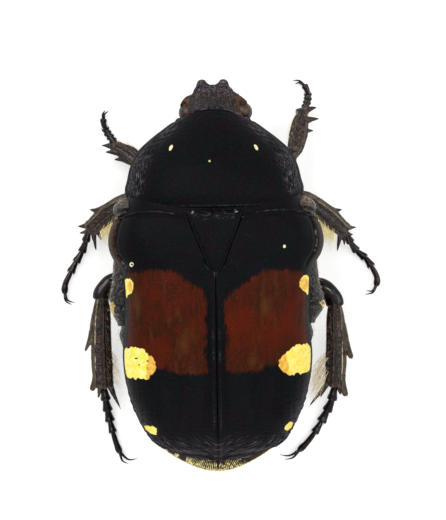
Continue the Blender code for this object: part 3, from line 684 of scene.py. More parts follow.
# Where a wing case's two ribs run, at a distance from the middle
costa_inner = through((0.2, 1.62), (2.0, 1.45), (3.4, 1.37), (5.0, 1.3), (6.2, 1.5))
costa_outer = through((-0.5, 2.8), (1.5, 2.55), (3.4, 2.35), (5.4, 2.15), (6.2, 1.9))


def wing_relief(x, y, edge):
    """Height of the wing case's own relief, in millimetres, at |x| and y. edge is the distance
    from its outer margin over the surface."""
    # The raised inner margin and the furrow beside it
    height = 0.055 * hump(x, 0.15, 0.12) * ease(y, -0.1, 1.2)
    height -= 0.045 * hump(x, 0.4, 0.1) * ease(y, 0.4, 3.0) * ease(y, 7.3, 6.6)
    # The two ribs and the hollow between them
    height += 0.045 * hump(x, costa_inner(y), 0.13) * ease(y, 0.5, 2.5) * ease(y, 6.3, 5.4)
    height += 0.035 * hump(x, costa_outer(y), 0.13) * ease(y, 0.0, 2.0) * ease(y, 6.2, 5.4)
    height -= 0.03 * hump(x, (costa_inner(y) + costa_outer(y)) / 2, 0.35) * ease(y, 0.5, 2.5)
    # The shoulder's knob, the knob ahead of the tip, and a dip inside the shoulder
    height += 0.1 * hump(x, 3.2, 0.45) * hump(y, -1.75, 0.6)
    height += 0.09 * hump(x, 2.3, 0.42) * hump(y, 5.75, 0.42)
    height -= 0.05 * hump(x, 2.0, 0.8) * hump(y, -0.6, 1.0)
    # The outer margin's fine rim, and the gutter outside the shoulder
    height += 0.01 * ease(edge, 0.1, 0.03) - 0.04 * hump(edge, 0.17, 0.06)
    inset = elytra_half(y) - x
    height -= 0.07 * hump(inset, 0.29, 0.06) * ease(y, -0.1, -0.5) * ease(edge, 0.2, 0.5)
    return height + 0.012 * noise(stack(x, y), 0.7, 11)


def pit_rows(x, y, seed):
    """Rows of half-moon pits, as a depth from 0 to 1: rows 0.24 mm apart, pits 0.17 mm apart."""
    drift = x + 0.05 * noise(stack(x, y), 1.4, seed)
    rows = stack(drift / 0.24, y / 0.17)
    away, number = pits(rows, 1.0, seed, 0.5)
    ring = hump(away, 0.24, 0.1)
    front = rows[..., 1] - np.floor(rows[..., 1])
    return ring * (0.35 + 0.65 * ease(front, 0.8, 0.3)) * (number > 0.25)


# Outlines of the rusty panels, from above
PANELS = {
    1: [(3.42, -0.16), (1.84, -0.2), (1.6, -0.06), (0.5, 0.72), (0.43, 0.95), (0.45, 3.92),
        (0.7, 4.0), (1.48, 3.88), (2.48, 3.58), (3.2, 3.0), (4.0, 2.86), (4.0, 0.9), (3.56, 0.5)],
    -1: [(3.42, -0.1), (1.9, -0.16), (1.66, 0.0), (0.48, 0.82), (0.38, 1.05), (0.36, 3.86),
         (0.62, 3.94), (1.52, 3.84), (2.45, 3.54), (3.2, 2.98), (4.0, 2.8), (4.0, 0.85),
         (3.6, 0.45)],
}
# Chalk spots of each side: the large one, the marginal one with its tail, and the one near the tip
SPOTS = {
    1: [[(4.0, 2.87), (3.64, 2.83), (3.55, 2.92), (3.38, 2.84), (3.07, 2.9), (2.92, 2.94),
         (2.72, 3.19), (2.555, 3.25), (2.47, 3.45), (2.43, 3.61), (2.455, 3.8), (2.66, 3.97),
         (2.75, 4.12), (3.135, 4.06), (3.23, 4.13), (3.32, 4.05), (3.64, 4.08), (4.0, 3.98)],
        [(4.0, 0.2), (3.6, 0.13), (3.42, 0.14), (3.31, 0.28), (3.29, 0.46), (3.36, 0.66),
         (3.52, 0.76), (3.58, 0.97), (3.8, 1.0), (4.0, 0.8)],
        [(3.2, 6.06), (2.6, 6.0), (2.42, 6.1), (2.44, 6.32), (2.62, 6.4), (3.1, 6.3)]],
    -1: [[(4.0, 2.92), (3.66, 2.84), (3.56, 2.81), (3.375, 2.86), (3.16, 2.84), (3.01, 2.94),
          (2.79, 3.12), (2.62, 3.26), (2.45, 3.455), (2.43, 3.65), (2.53, 3.84), (2.775, 4.04),
          (2.99, 4.04), (3.13, 3.93), (3.266, 4.0), (3.51, 3.93), (3.68, 3.8), (4.0, 3.7)],
         [(3.62, 0.11), (3.48, 0.08), (3.34, 0.2), (3.25, 0.42), (3.31, 0.6), (3.47, 0.73),
          (3.6, 0.92), (3.73, 0.92), (3.73, 0.62), (3.7, 0.35)],
         [(3.3, 5.9), (2.84, 5.94), (2.62, 6.08), (2.6, 6.22), (2.74, 6.27), (3.2, 6.2)]],
}
# A small cream dot on the right, a cream ring on the left shoulder, and specks that are
# scratched from the left spot, as (x, y, half sizes)
DOT = (2.71, -1.08)
RING = (3.33, -0.45)
SPECKS = [(3.21, 3.29, 0.08, 0.03), (2.76, 3.4, 0.05, 0.03), (3.1, 3.55, 0.03, 0.03)]
SPOT_EDGE = 0.16
# How much wider each wing case stands at its waist, and near its end
WIDER = {1: (0.0, 0.06), -1: (0.014, 0.09)}
# Where each chalk spot ends on the steep side: its middle and half length along the body
SPOT_SIDES = ((3.46, 0.72), (0.5, 0.5), (6.14, 0.3))


def wing_marks(x, y, edge, side):
    """Where a wing case is rusty, chalky, golden, cream, scratched, brown or pale-rimmed, from
    0 to 1. Noise is laid on the surface itself, so that no mark runs down the steep sides."""
    place = stack(edge, y)
    inset = elytra_half(y) - x
    ragged = 0.07 * noise(place, 0.3, 21 + side)
    rust = within(x + ragged, y + 0.08 * noise(place, 0.3, 23), PANELS[side], 0.42)
    rust *= ease(inset, 0.06, 0.24)
    away, _ = pits(place, 0.16, 24)
    lobes = 0.3 * (1 - 1.6 * away)
    chalk = np.zeros(x.shape)
    for outline, (middle, half) in zip(SPOTS[side], SPOT_SIDES):
        low = 0.6 + 0.8 * np.abs((y - middle) / half) ** 3
        spot = within(x, y, outline, SPOT_EDGE) + lobes
        spot = np.minimum(spot, 0.5 + (edge - low) / SPOT_EDGE + lobes)
        chalk = np.maximum(chalk, np.minimum(spot, 0.5 + (inset - 0.06) / 0.08))
    if side > 0:
        for speck_x, speck_y, half_x, half_y in SPECKS:
            speck = np.hypot((x - speck_x) / half_x, (y - speck_y) / half_y)
            chalk = np.minimum(chalk, 0.5 * speck)
        ring = np.hypot(x - RING[0], y - RING[1])
        open_side = 0.25 * ease(x, RING[0], RING[0] - 0.08)
        line = (0.026 - np.abs(ring - 0.065)) / SPOT_EDGE
        chalk = np.maximum(chalk, 0.5 + line * 2 - open_side)
        cream = ease(ring, 0.3, 0.2)
        warmth, reach = 0.9, 0.12
        seen = ease(y, -0.1, -0.4) * ease(y, -1.3, -0.9)
    else:
        dot = np.hypot(x - DOT[0], (y - DOT[1]) * 0.8)
        chalk = np.maximum(chalk, 0.5 + (0.05 - dot) / SPOT_EDGE)
        cream = 0.8 * ease(dot, 0.3, 0.2)
        warmth, reach = 1.2, 0.2
        seen = ease(y, -0.5, -0.9) * ease(y, -2.0, -1.6)
    gold = ease(x + 0.1 * noise(place, 0.2, 25), 2.86, 2.7) * ease(y, 5.0, 4.5)
    gold = np.maximum(gold, warmth * hump(x, 3.42, reach) * hump(y, 0.42, 0.28))
    rough = 0.5 + 0.5 * noise(place, 0.4, 27)
    flank = 0.62 * ease(inset, 0.75, 0.1) * ease(y, 4.2, 6.4)
    flank += 0.85 * ease(y, 6.0, 7.2) * (0.5 + 0.5 * rough)
    flank += 0.3 * ease(inset, 0.3, 0.05) * ease(y, -0.4, 1.0)
    gutter = ease(y, -0.1, -0.6) * ease(inset, 0.3, 0.18) * ease(edge, 0.1, 0.5)
    dotted = ease(noise(place, 0.1, 29), -0.1, 0.4)
    rim = 0.25 * hump(x, 0.13, 0.05) * rough * ease(y, 0.3, 2.0)
    rim += 0.55 * hump(inset, 0.24, 0.03) * seen * dotted
    return {"rust": rust, "chalk": np.clip(chalk, 0, 1),
            "gold": np.clip(np.maximum(gold, 0.36 - 0.06 * side), 0, 1), "cream": cream,
            "flank": np.clip(flank, 0, 1) * (1 - rust), "brown": (0.65 + 0.3 * side) * gutter,
            "rim": rim, "inward": edge, "along": y}


def shell(grid, normals, near):
    """A closed shell: a fine outer skin, whose edges round off where near falls from 1 to 0,
    and a coarser inner one, a wall below it."""
    rows, columns = grid.shape[:2]
    inner = (grid - normals * WING_WALL)[::INNER_STEP, ::INNER_STEP]
    sink = EDGE_ROUND * (1 - np.sqrt(np.clip(1 - (1 - near) ** 2, 0, 1)))
    few_rows, few = inner.shape[:2]
    start = rows * columns
    faces = grid_faces(rows, columns, False)
    faces += [tuple(quad[::-1]) for quad in grid_faces(few_rows, few, False, start)]

    def border(r_count, c_count, first):
        n = first + np.arange(r_count * c_count).reshape(r_count, c_count)
        return np.concatenate([n[0], n[1:, -1], n[-1, -2::-1], n[-2:0:-1, 0]]).tolist()

    fine = border(rows, columns, 0)
    coarse = border(few_rows, few, start)
    half = INNER_STEP // 2
    for j, here in enumerate(coarse):
        at = INNER_STEP * j
        for k in range(at - half, at + half):
            faces.append((fine[(k + 1) % len(fine)], fine[k % len(fine)], here))
        faces.append((fine[(at + half) % len(fine)], here, coarse[(j + 1) % len(coarse)]))
    outer = raised(grid, normals, -sink)
    return np.concatenate([outer.reshape(-1, 3), inner.reshape(-1, 3)]), faces


def make_wing_case(name, side):
    """A thin shell with ribs, rows of pits and a wrinkled rear end."""
    grid = wing_grid(*WING_GRID)
    edge = run_along(grid, 1)
    inner_edge = edge[:, -1:] - edge
    front = run_along(grid, 0)
    rear = front[-1:] - front
    x, y = grid[..., 0], grid[..., 1]
    normals = grid_normals(grid, False)
    marks = wing_marks(x, y, edge, side)
    height = wing_relief(x, y, edge)
    dense = 0.35 + 0.65 * ease(y, -0.6, 0.8)
    near_rim = np.minimum(np.minimum(edge, inner_edge), np.minimum(front, rear))
    pitted = pit_rows(x, y, 31 + side) * dense * ease(near_rim, 0.08, 0.25)
    height -= 0.022 * pitted * (1 - 0.7 * marks["chalk"])
    ruga, _ = pits(stack(edge / 0.09, y / 0.22), 1.0, 41)
    rough = np.clip(ease(edge, 1.1, 0.3) * ease(y, 3.5, 5.2) + ease(rear, 1.1, 0.3), 0, 1)
    height -= 0.028 * ease(ruga, 0.5, 0.1) * rough * ease(near_rim, 0.05, 0.2)
    height += 0.03 * ease(front, 0.12, 0.04) - 0.03 * hump(front, 0.17, 0.06)
    height += 0.02 * noise(stack(x, y), 0.1, 12) * rough
    outer_near = np.minimum(edge, front) / 0.055
    inner_near = np.minimum(inner_edge / 0.016, rear / 0.03)
    near = np.clip(np.minimum(outer_near, inner_near), 0, 1)
    points, faces = shell(raised(grid, normals, height), normals, near)
    waist, end = WIDER[side]
    wider = 1.009 - 0.009 * side + waist * hump(points[:, 1], 0.6, 1.0)
    points[:, 0] *= side * (wider + end * hump(points[:, 1], 6.95, 0.5))
    broken = ease(noise(stack(x, y), 0.25, 28), -0.6, 0.4)
    low = 0.25 + (0.6 + 0.15 * side) * ease(y, -1.4, -0.9)
    bead = 0.3 * hump(front, 0.04, 0.03)
    bead += 0.5 * low * hump(inner_edge, 0.02, 0.025) * ease(y, 0.3, -0.1)
    marks["rim"] = np.clip(marks["rim"] + bead * broken, 0, 1)
    piece(f"wing_case_{name}", (points, faces), VELVET, f"elytron_{name}", marks)


def make_scutellum():
    """The small triangular plate between the wing cases, smooth, with a fine raised border."""
    rows, columns = SCUTELLUM_GRID
    y = np.linspace(-2.84, -0.1, rows)
    half = np.maximum(scutellum_half(y), 0.02) + 0.045 * ease(y, -1.0, -1.9)
    x, place = np.broadcast_arrays(half[:, None] * np.linspace(-1, 1, columns), y[:, None])
    side = elytra_side(place)
    level = np.clip(1 - (np.abs(x) / elytra_half(place)) ** WING_POWER, 0, 1) ** (1 / WING_POWER)
    grid = stack(x, place, side + (elytra_top(place) - side) * level)
    normals = grid_normals(grid, False)
    normals *= np.sign(normals[..., 2:])
    across = run_along(grid, 1)
    near = np.minimum(np.minimum(across, across[:, -1:] - across), y[-1] - place)
    height = 0.035 * hump(near, 0.05, 0.035) - 0.03 * hump(near, 0.13, 0.05)
    height -= 0.035 * hump(x, 0, 0.5) * hump(place, -1.6, 0.8)
    height -= 0.3 * ease(place, -2.4, -2.82)
    height += 0.02 * noise(stack(x, place), 0.22, 52) * ease(place, -2.1, -2.4)
    spots, _ = pits(stack(x, place), 0.15, 51)
    height -= 0.012 * ease(spots, 0.3, 0.1) * ease(near, 0.15, 0.3)
    rounding = np.clip(np.minimum(near, place - y[0]) / 0.025, 0, 1)
    form = shell(raised(grid, normals, height), normals, rounding)
    # Pale patches at the plate's two front corners, the right one larger
    pale_corner = hump(np.hypot(np.abs(x) - 0.87, place + 2.52), 0.0, np.where(x < 0, 0.13, 0.08))
    fine = noise(stack(x, place), 0.06, 53)
    marks = {"rim": 0.1 * hump(near, 0.04, 0.04) + ease(pale_corner + 0.4 * fine, 0.5, 0.8),
             "flank": 0.45 * ease(place, -2.0, -2.4) * ease(fine, -0.6, 0.4),
             "inward": place, "along": x}
    piece("scutellum_plate", form, VELVET, "scutellum", marks)


# Pronotum

def pronotum_grid(rows, around):
    """Rings of the pronotum from front to back."""
    y = np.linspace(PRONOTUM_FRONT, PRONOTUM_BACK, rows)[:, None]
    share = (y - PRONOTUM_FRONT) / (PRONOTUM_BACK - PRONOTUM_FRONT)
    forward = 0.47 * np.clip(1 - (y - PRONOTUM_FRONT) / 2.2, 0, None)
    backward = 0.4 * np.clip(1 - (PRONOTUM_BACK - y) / 0.9, 0, None)
    half = pronotum_half(y + forward * 0.87 - backward)
    x, z, angle = section(half, pronotum_top(y), pronotum_side(y), pronotum_under(y),
                          2.2, 1.75 + 0.6 * share, around)
    place = y + forward * (x / half) ** 2 - backward * (x / half) ** 4
    return stack(x, place, z), angle


# How far an open end's rings draw in and stand out as they roll over its edge, in lips
LIP = 0.035
LIP_RINGS = ((0.4, 0.35), (1.0, 0.2), (1.6, -0.6), (2.0, -4.0), (2.4, -8.0))
# Cream dots of the pronotum: x, y, lean and half sizes
PRONOTUM_DOTS = ((1.7, -5.08, -0.5, 0.06, 0.13), (-1.7, -5.05, 0.5, 0.06, 0.13),
                 (0.17, -4.52, 0.0, 0.035, 0.07))


def lipped(ring, sign):
    """Rings that roll over the edge of an open end, -1 for the front, and run inside it."""
    centre = ring.mean(axis=0)
    rings = []
    for shrink, reach in LIP_RINGS:
        turned = centre + (ring - centre) * (1 - LIP * shrink / 1.6)
        rings.append(turned + np.array((0, sign * reach * LIP, 0)))
    return np.array(rings)[::sign]


def make_pronotum():
    """The shield behind the head, matt above, scratched on its flanks and pitted below."""
    rows, around = PRONOTUM_GRID
    grid, angle = pronotum_grid(rows, around)
    normals = grid_normals(grid, True)
    run = run_along(grid, 1)
    top = (angle <= PI)[None, :] & np.ones((rows, 1), bool)
    whole = run[:, around // 2][:, None]
    edge = np.where(top, np.minimum(run, np.abs(whole - run)), 0.0)
    down = np.where(top, 0.0, np.minimum(np.abs(run - whole), np.abs(run[:, -1:] - run)))
    x, y = grid[..., 0], grid[..., 1]
    across = np.abs(x)
    front = run_along(grid, 0)
    rear = front[-1:] - front
    upper = top.astype(float)
    below = 1 - upper
    inset = grid[:, :1, 0] - across
    height = upper * (0.02 * ease(edge, 0.3, 0.15) - 0.06 * hump(edge, 0.5, 0.14))
    height += upper * (0.02 * ease(front, 0.1, 0.05) - 0.03 * hump(front, 0.16, 0.06))
    striga, _ = pits(stack(edge / 0.11, front / 0.34), 1.0, 61)
    flank = upper * ease(inset, 1.0, 0.5)
    height -= 0.026 * ease(striga, 0.48, 0.1) * flank * ease(edge, 0.2, 0.6)
    spots, _ = pits(stack(x, y), 0.17, 62)
    height -= 0.01 * ease(spots, 0.3, 0.12) * upper * (1 - flank) * ease(rear, 0.1, 0.3)
    rough, _ = pits(grid, 0.2, 63)
    height -= 0.03 * ease(rough, 0.45, 0.15) * below * ease(down, 0.0, 0.2)
    height += 0.012 * noise(grid, 0.9, 64)
    skin = raised(grid, normals, height)
    # Two cream dots and a speck
    chalk = np.zeros(x.shape)
    for dot_x, dot_y, lean, half_u, half_v in PRONOTUM_DOTS:
        u = (x - dot_x) * math.cos(lean) + (y - dot_y) * math.sin(lean)
        v = -(x - dot_x) * math.sin(lean) + (y - dot_y) * math.cos(lean)
        dot = np.clip(1 - 0.5 * np.hypot(u / half_u, v / half_v), 0, 1) * upper
        chalk = np.maximum(chalk, dot)
    surface = stack(edge, y)
    patchy = np.clip(0.65 + 0.5 * noise(surface, 0.45, 65), 0, 1)
    band = upper * ease(inset, 0.95, 0.45) * ease(inset, 0.0, 0.06) * patchy * ease(rear, 0.1, 0.4)
    broken = ease(noise(surface, 0.3, 66), -0.7, 0.3)
    rim = 0.45 * upper * broken * hump(inset, 0.09, 0.05) * ease(y, -3.4, -4.8)
    rim += upper * (0.4 + 0.2 * broken) * hump(front, 0.05, 0.04) * ease(across, 1.5, 1.2)
    rim += 0.2 * upper * hump(rear, 0.02, 0.04)
    gold = upper * ease(across, 1.72, 1.78)
    wine = 0.62 * upper * ease(front, 0.45, 0.12) * hump(across, 1.1, 0.35)
    marks = {"gold": gold, "chalk": chalk, "cream": 1 - gold * 0.7, "rust": wine,
             "flank": np.clip(0.85 * band, 0, 1) + below * 0.4,
             "rim": np.clip(rim, 0, 1), "inward": edge + down, "along": front}
    ends = len(LIP_RINGS)
    for key, value in marks.items():
        marks[key] = np.concatenate([np.repeat(value[:1], ends, 0) * 0.5, value])
    form = closed_loft(np.concatenate([lipped(skin[0], -1), skin, lipped(skin[-1], 1)]))
    piece("pronotum_shield", form, VELVET, "pronotum", marks)


# Head

# How far back the front edge lies behind its two lobes, at a distance from the middle
front_margin = through((0, 0.22), (0.15, 0.215), (0.24, 0.14), (0.33, 0.03), (0.42, 0.0),
                       (0.52, 0.02), (0.6, 0.08), (0.68, 0.2))


def head_rings(rows, around):
    """The head's own form, begun by the blunt front face of its two upturned lobes."""
    y = CLYPEUS_TIP + 0.03 + 1.92 * np.linspace(0, 1, rows)[:, None] ** 1.25
    x, z, _ = section(head_half(y), head_top(y), head_side(y), head_under(y), 2.6, 2.3, around)
    x = x * (1 + np.where(x < 0, 0.15, 0.03) * hump(y, -7.25, 0.3))
    lift = 0.14 * ease(y, -7.3, -7.72) * ease(np.abs(x), 0.1, 0.34)
    dish = 0.07 * hump(y, -7.4, 0.18) * (z > head_side(y))
    z = z + lift - dish
    rings = []
    for size in (0.25, 0.6, 0.86, 0.96):
        face_x = x[:1] * size
        round_out = 0.045 * (1 - size ** 4)
        level = 3.4 + 0.1 * ease(np.abs(face_x), 0.1, 0.34)
        face_z = level + (z[:1] - level) * size
        rings.append(stack(face_x, y[0] - round_out + front_margin(np.abs(face_x)), face_z))
    fade = ease(y, -6.95, -7.55)
    return np.concatenate([*rings, stack(x, y + front_margin(np.abs(x)) * fade, z)])


EYES = {"left": (1.02, -6.49, 3.5), "right": (-1.22, -6.49, 3.5)}
EYE_SIZE = (0.35, 0.37, 0.39)


def make_head():
    """Head with its front plate, the ledges that guard the eyes and coarse pits."""
    parts = [closed_loft(head_rings(*HEAD_GRID)), ellipsoid((0, -6.95, 2.85), (0.55, 0.5, 0.42)),
             ellipsoid((0, -7.2, 3.0), (0.42, 0.3, 0.16))]
    for side in (1, -1):
        # The right ledge stands further out
        out = 0.0 if side > 0 else 0.12
        ledge = [(side * (0.7 + out), -7.12, 3.68), (side * (1.02 + out), -6.95, 3.7),
                 (side * (1.21 + out), -6.78, 3.66), (side * (1.29 + out), -6.6, 3.6)]
        wide = np.linspace(0.16, 0.1, 20)
        ledge = smooth_path(ledge, 20)
        parts.append(closed_loft(limb(ledge, wide, wide * 0.5, around=16, end=0.12)))
    points, faces, normals = fused(parts, voxel=0.024, smoothing=5)
    x, y, z = points.T
    across = np.abs(x)
    for centre in EYES.values():
        far = np.linalg.norm((points - np.array(centre)) / np.array(EYE_SIZE), axis=1)
        points = raised(points, normals, -0.06 * hump(far, 1.14, 0.1))
    inside = np.minimum(head_half(y) - across, y - CLYPEUS_TIP - front_margin(across))
    calm = ease(inside, 0.0, 0.16)
    deep, _ = pits(points, 0.13, 71, 0.6)
    pit = ease(deep, 0.45, 0.2) * calm
    height = -0.022 * pit + 0.01 * calm * noise(points, 0.3, 72)
    height += 0.05 * hump(x, 0, 0.14) * ease(y, -7.4, -7.1) * ease(y, -6.2, -6.6) * (z > 3.5)
    height += 0.04 * hump(inside, 0.03, 0.06) * (z > head_side(y)) * ease(y, -6.7, -7.0)
    points = raised(points, normals, height)
    warm = 0.8 * ease(across, 0.7, 1.1) * ease(noise(points, 0.25, 73), -0.5, 0.3)
    # Partly a real grey bloom and partly painted glints: pale specks on the head's top, strongest
    # on the lobes and fainter at the sides
    hoary = (0.25 + 0.6 * ease(y, -7.0, -7.5)) * (z > 3.2) * (1 - 0.6 * ease(across, 0.7, 1.0))
    # The pit mark paints shade into the pits
    marks = {"pit": 0.5 * pit, "warm": warm, "hoary": hoary}
    piece("head_shell", (points, faces), HEAD_SKIN, "head", marks)
    make_head_hairs(stack(x, y, z), points, normals)


def make_head_hairs(smooth, points, normals):
    """Short brown hairs on the top of the head, which lie forward. smooth is the skin without
    its pits."""
    rng = np.random.default_rng(203)
    x, y, z = smooth.T
    chosen = rng.permutation(np.flatnonzero((normals[:, 2] > 0.2) & (y < -6.3) & (z > 3.4)))[:560]
    spread = rng.normal(0, 0.35, (len(chosen), 3))
    lie = unit(normals[chosen] * 0.6 + np.array((0, -0.8, 0)) + spread)
    reach = rng.uniform(0.05, 0.1, len(chosen))
    around = np.arctan2(z[chosen] - 3.3, x[chosen])
    places = stack(0.1 + 0.8 * around / PI, 0.05 + 0.5 * (y[chosen] + 7.8))
    hairs = (points[chosen], lie, normals[chosen], reach, places)
    grow_hairs("hairs_head", BROWN_HAIR, hairs, slimness=0.05, bend=0.3)


def make_feelers():
    """The two short beaded feelers of the mouth."""
    parts = []
    for side in (1, -1):
        line = [(side * 0.22, -6.95, 2.72), (side * 0.27, -7.25, 2.6), (side * 0.2, -7.5, 2.72)]
        beads = 0.06 + 0.022 * np.abs(np.sin(np.linspace(0, 4 * PI, 40)))
        parts.append(closed_loft(limb(smooth_path(line, 40), beads, beads, around=12, end=0.08)))
    piece("mouth_feelers", joined(parts), POLISHED, None)


def make_eye(name):
    """A globe of some 2500 raised facets, each about 0.027 mm across."""
    ball = bmesh.new()
    bmesh.ops.create_icosphere(ball, subdivisions=5, radius=1.0)
    tops = KDTree(len(ball.verts))
    for i, vertex in enumerate(ball.verts):
        tops.insert(vertex.co, i)
    tops.balance()
    ball.clear()
    bmesh.ops.create_icosphere(ball, subdivisions=7, radius=1.0)
    ball.verts.index_update()
    away = np.array([tops.find(vertex.co)[2] for vertex in ball.verts])
    ways = np.array([vertex.co[:] for vertex in ball.verts])
    faces = [tuple(vertex.index for vertex in face.verts) for face in ball.faces]
    ball.free()
    facet = 1 - (away / away.max()) ** 2
    points = np.array(EYES[name]) + ways * np.array(EYE_SIZE) * (1 + 0.015 * facet)[:, None]
    piece(f"eye_globe_{name}", (points, faces), EYE, f"eye_{name}", {"facet": facet})


def make_antenna(name, side):
    """A stout first joint, a short string of beads, and a club of three leaves below the head."""
    stalk = smooth_path([(side * 0.96, -6.7, 3.0), (side * 0.98, -6.74, 2.5),
                         (side * 0.9, -6.9, 2.24), (side * 0.74, -7.1, 2.18)], 70)
    share = np.linspace(0, 1, 70)
    beads = (0.065 + 0.03 * np.abs(np.sin(share * 6.5 * PI))) * ease(share, 0.3, 0.42)
    size = np.maximum(0.15 * hump(share, 0.2, 0.2) + beads, 0.05)
    parts = [closed_loft(limb(stalk, size, size, around=18, end=0.08))]
    for lift in (-0.09, 0.0, 0.09):
        heading = math.atan2(-1, side * (-0.3 - lift))
        centre = np.array((side * 0.58, -7.2, 2.18 + lift))
        reach = 0.38 * np.array((math.cos(heading), math.sin(heading), 0.0))
        path = smooth_path([centre - reach, centre + reach], 24)
        swell = np.sin(np.linspace(0.12, PI - 0.12, 24)) ** 0.6
        parts.append(closed_loft(limb(path, 0.17 * swell, 0.044 * swell, around=20)))
    piece(f"feeler_{name}", joined(parts), POLISHED, f"antenna_{name}")


# Underside

def trunk_grid(half_at, y, drawn, around):
    """Rings of the underside, each with rounded shoulders and a flat top below the wing cases."""
    angle = np.linspace(0, PI, around - 26)
    half = (half_at(y) - drawn)[:, None]
    level = elytra_side(y)[:, None] - GAP
    shoulder = level - SIDE_SHOULDER
    x = half * bulge(np.cos(angle), 2.4)
    z = shoulder + (belly(y)[:, None] + drawn[:, None] - shoulder) * bulge(np.sin(angle), 2.4)
    turn = np.linspace(PI / 2, 0, 9)[:-1]
    corner_x = half - SIDE_CORNER + SIDE_CORNER * np.cos(turn)
    corner_z = shoulder + SIDE_SHOULDER * np.sin(turn)
    flat_x = (half - SIDE_CORNER) * np.linspace(-1, 1, 12)[1:-1]
    x = np.concatenate([corner_x, x, -corner_x[:, ::-1], flat_x], axis=1)
    z = np.concatenate([corner_z, z, corner_z[:, ::-1], level + 0 * flat_x], axis=1)
    return stack(x, y[:, None], z)


def hip_forms(leg):
    """The knob and the root of a thigh, which melt into the middle body."""
    start = np.array(leg["femur"][0])
    thigh = unit(np.array(leg["femur"][1]) - start)
    wide, thick = leg["femur_size"]
    knob = ellipsoid(start - thigh * 0.42 + np.array((0, 0, 0.32)), (0.46, 0.42, 0.5))
    path = smooth_path([start - thigh * 0.4, start + thigh * 0.02], 12)
    return [knob, closed_loft(limb(path, wide * 0.7, thick * 0.82, around=24, end=0.06))]


def make_collar():
    """The low neck of the middle body, which shows in the joint in front of the wing cases."""
    drop = 0.19
    y = np.linspace(-3.3, -2.2, 24)[:, None]
    x, z = dome(np.linspace(0, PI, 120)[None, :], y)
    x = x * (1 - drop / elytra_half(y))
    foot = stack(x, y, elytra_side(y) - 0.6 + 0 * x)[:, ::-1]
    form = closed_loft(np.concatenate([stack(x, y, z - drop), foot[:, 1:-1]], axis=1))
    piece("collar_plate", form, VELVET, None)


# Forms that melt into the middle body, as (middle, half sizes): the plates at the pronotum's
# rear corners, the keel and the plate ahead of it
THORAX_KNOBS = (((3.42, -2.62, 4.15), (0.64, 0.5, 0.95)), ((-3.42, -2.62, 4.15), (0.64, 0.5, 0.95)),
                ((0, -2.1, 1.55), (0.34, 0.75, 0.5)), ((0, -2.95, 1.62), (0.4, 0.3, 0.3)))


def make_thorax():
    """Middle body: pitted flank plates with seams, hips, and a keel between the middle hips."""
    y = np.linspace(-3.25, THORAX_BACK + 0.12, 90)
    parts = [closed_loft(trunk_grid(thorax_half, y, 0 * y, 120))]
    for centre, radii in THORAX_KNOBS:
        parts.append(ellipsoid(centre, radii))
    for name in ("middle_left", "middle_right", "hind_left", "hind_right"):
        parts += hip_forms(LEGS[name])
    points, faces, normals = fused(parts, voxel=0.045, smoothing=3)
    x, y, z = points.T
    across = np.abs(x)
    flank = ease(across, 2.6, 3.4)
    seam = hump(y, -0.95 + 0.3 * (z - 3), 0.06) * (z < 3.1) + hump(y, 0.92 + 0.25 * (z - 3), 0.06)
    shelf = hump(z, 2.95 - 0.16 * (y + 1.0), 0.07) * ease(y, -2.2, -1.9)
    seam += hump(y, -2.0 - 0.3 * (z - 3), 0.06) + shelf
    seam = np.clip(seam, 0, 1) * flank
    height = -0.11 * seam
    height -= 0.05 * hump(x, 0, 0.06) * (z < 1.9) * ease(y, -1.2, -0.9)
    hip_line = hump(y, 0.1 + 0.12 * across, 0.06) * (z < 2.6) * ease(across, 0.4, 0.7)
    height -= 0.06 * hip_line
    deep, number = pits(points, 0.15, 81)
    pit = ease(deep, 0.5, 0.15)
    height += -0.035 * pit * (0.4 + 0.6 * flank) + 0.015 * noise(points, 0.4, 82)
    # The plate above the hind hip stands out, a little further on the right
    height += np.where(x > 0, 0.02, 0.14) * hump(y, 1.2, 0.4) * hump(z, 3.7, 0.45) * flank
    points = raised(points, normals, height)
    patch = ease(across, np.where(x > 0, 4.02, 4.1), np.where(x > 0, 4.12, 4.2))
    patch = patch * hump(y, 1.27, 0.24) * ease(z, 3.2, 3.5)
    patch = np.clip(patch + 0.5 * noise(points, 0.12, 83) * (patch > 0.05), 0, 1)
    corner = hump(y, -3.0, 0.3) * ease(across, 3.2, 3.5) * ease(z, 3.8, 4.3)
    # Painted shade: less bloom on the knob's rear top, where it goes in under the wing case's
    # shoulder
    dark = ease(y, -2.75, -2.5) * ease(y, -2.0, -2.2) * ease(across, 3.0, 3.3) * ease(z, 3.9, 4.3)
    hoary = 0.25 + 0.45 * flank + 0.5 * corner
    hoary *= (0.6 + 0.4 * ease(noise(points, 0.6, 85), -0.3, 0.4)) * (1 - 0.75 * dark)
    warm = 0.35 * ease(noise(points, 0.5, 84), 0.1, 0.6) + 0.6 * corner
    # Painted shade: the pit mark darkens the pits and the seams between the plates
    marks = {"pit": np.maximum(0.85 * pit * (number > 0.15), 0.9 * seam),
             "hoary": np.clip(hoary, 0, 1), "warm": warm, "chalk": patch}
    piece("thorax_body", (points, faces), FLANK_SKIN, "thorax", marks)


SEGMENTS = (1.98, 3.0, 3.95, 4.8, 5.6, 6.3, 6.85)


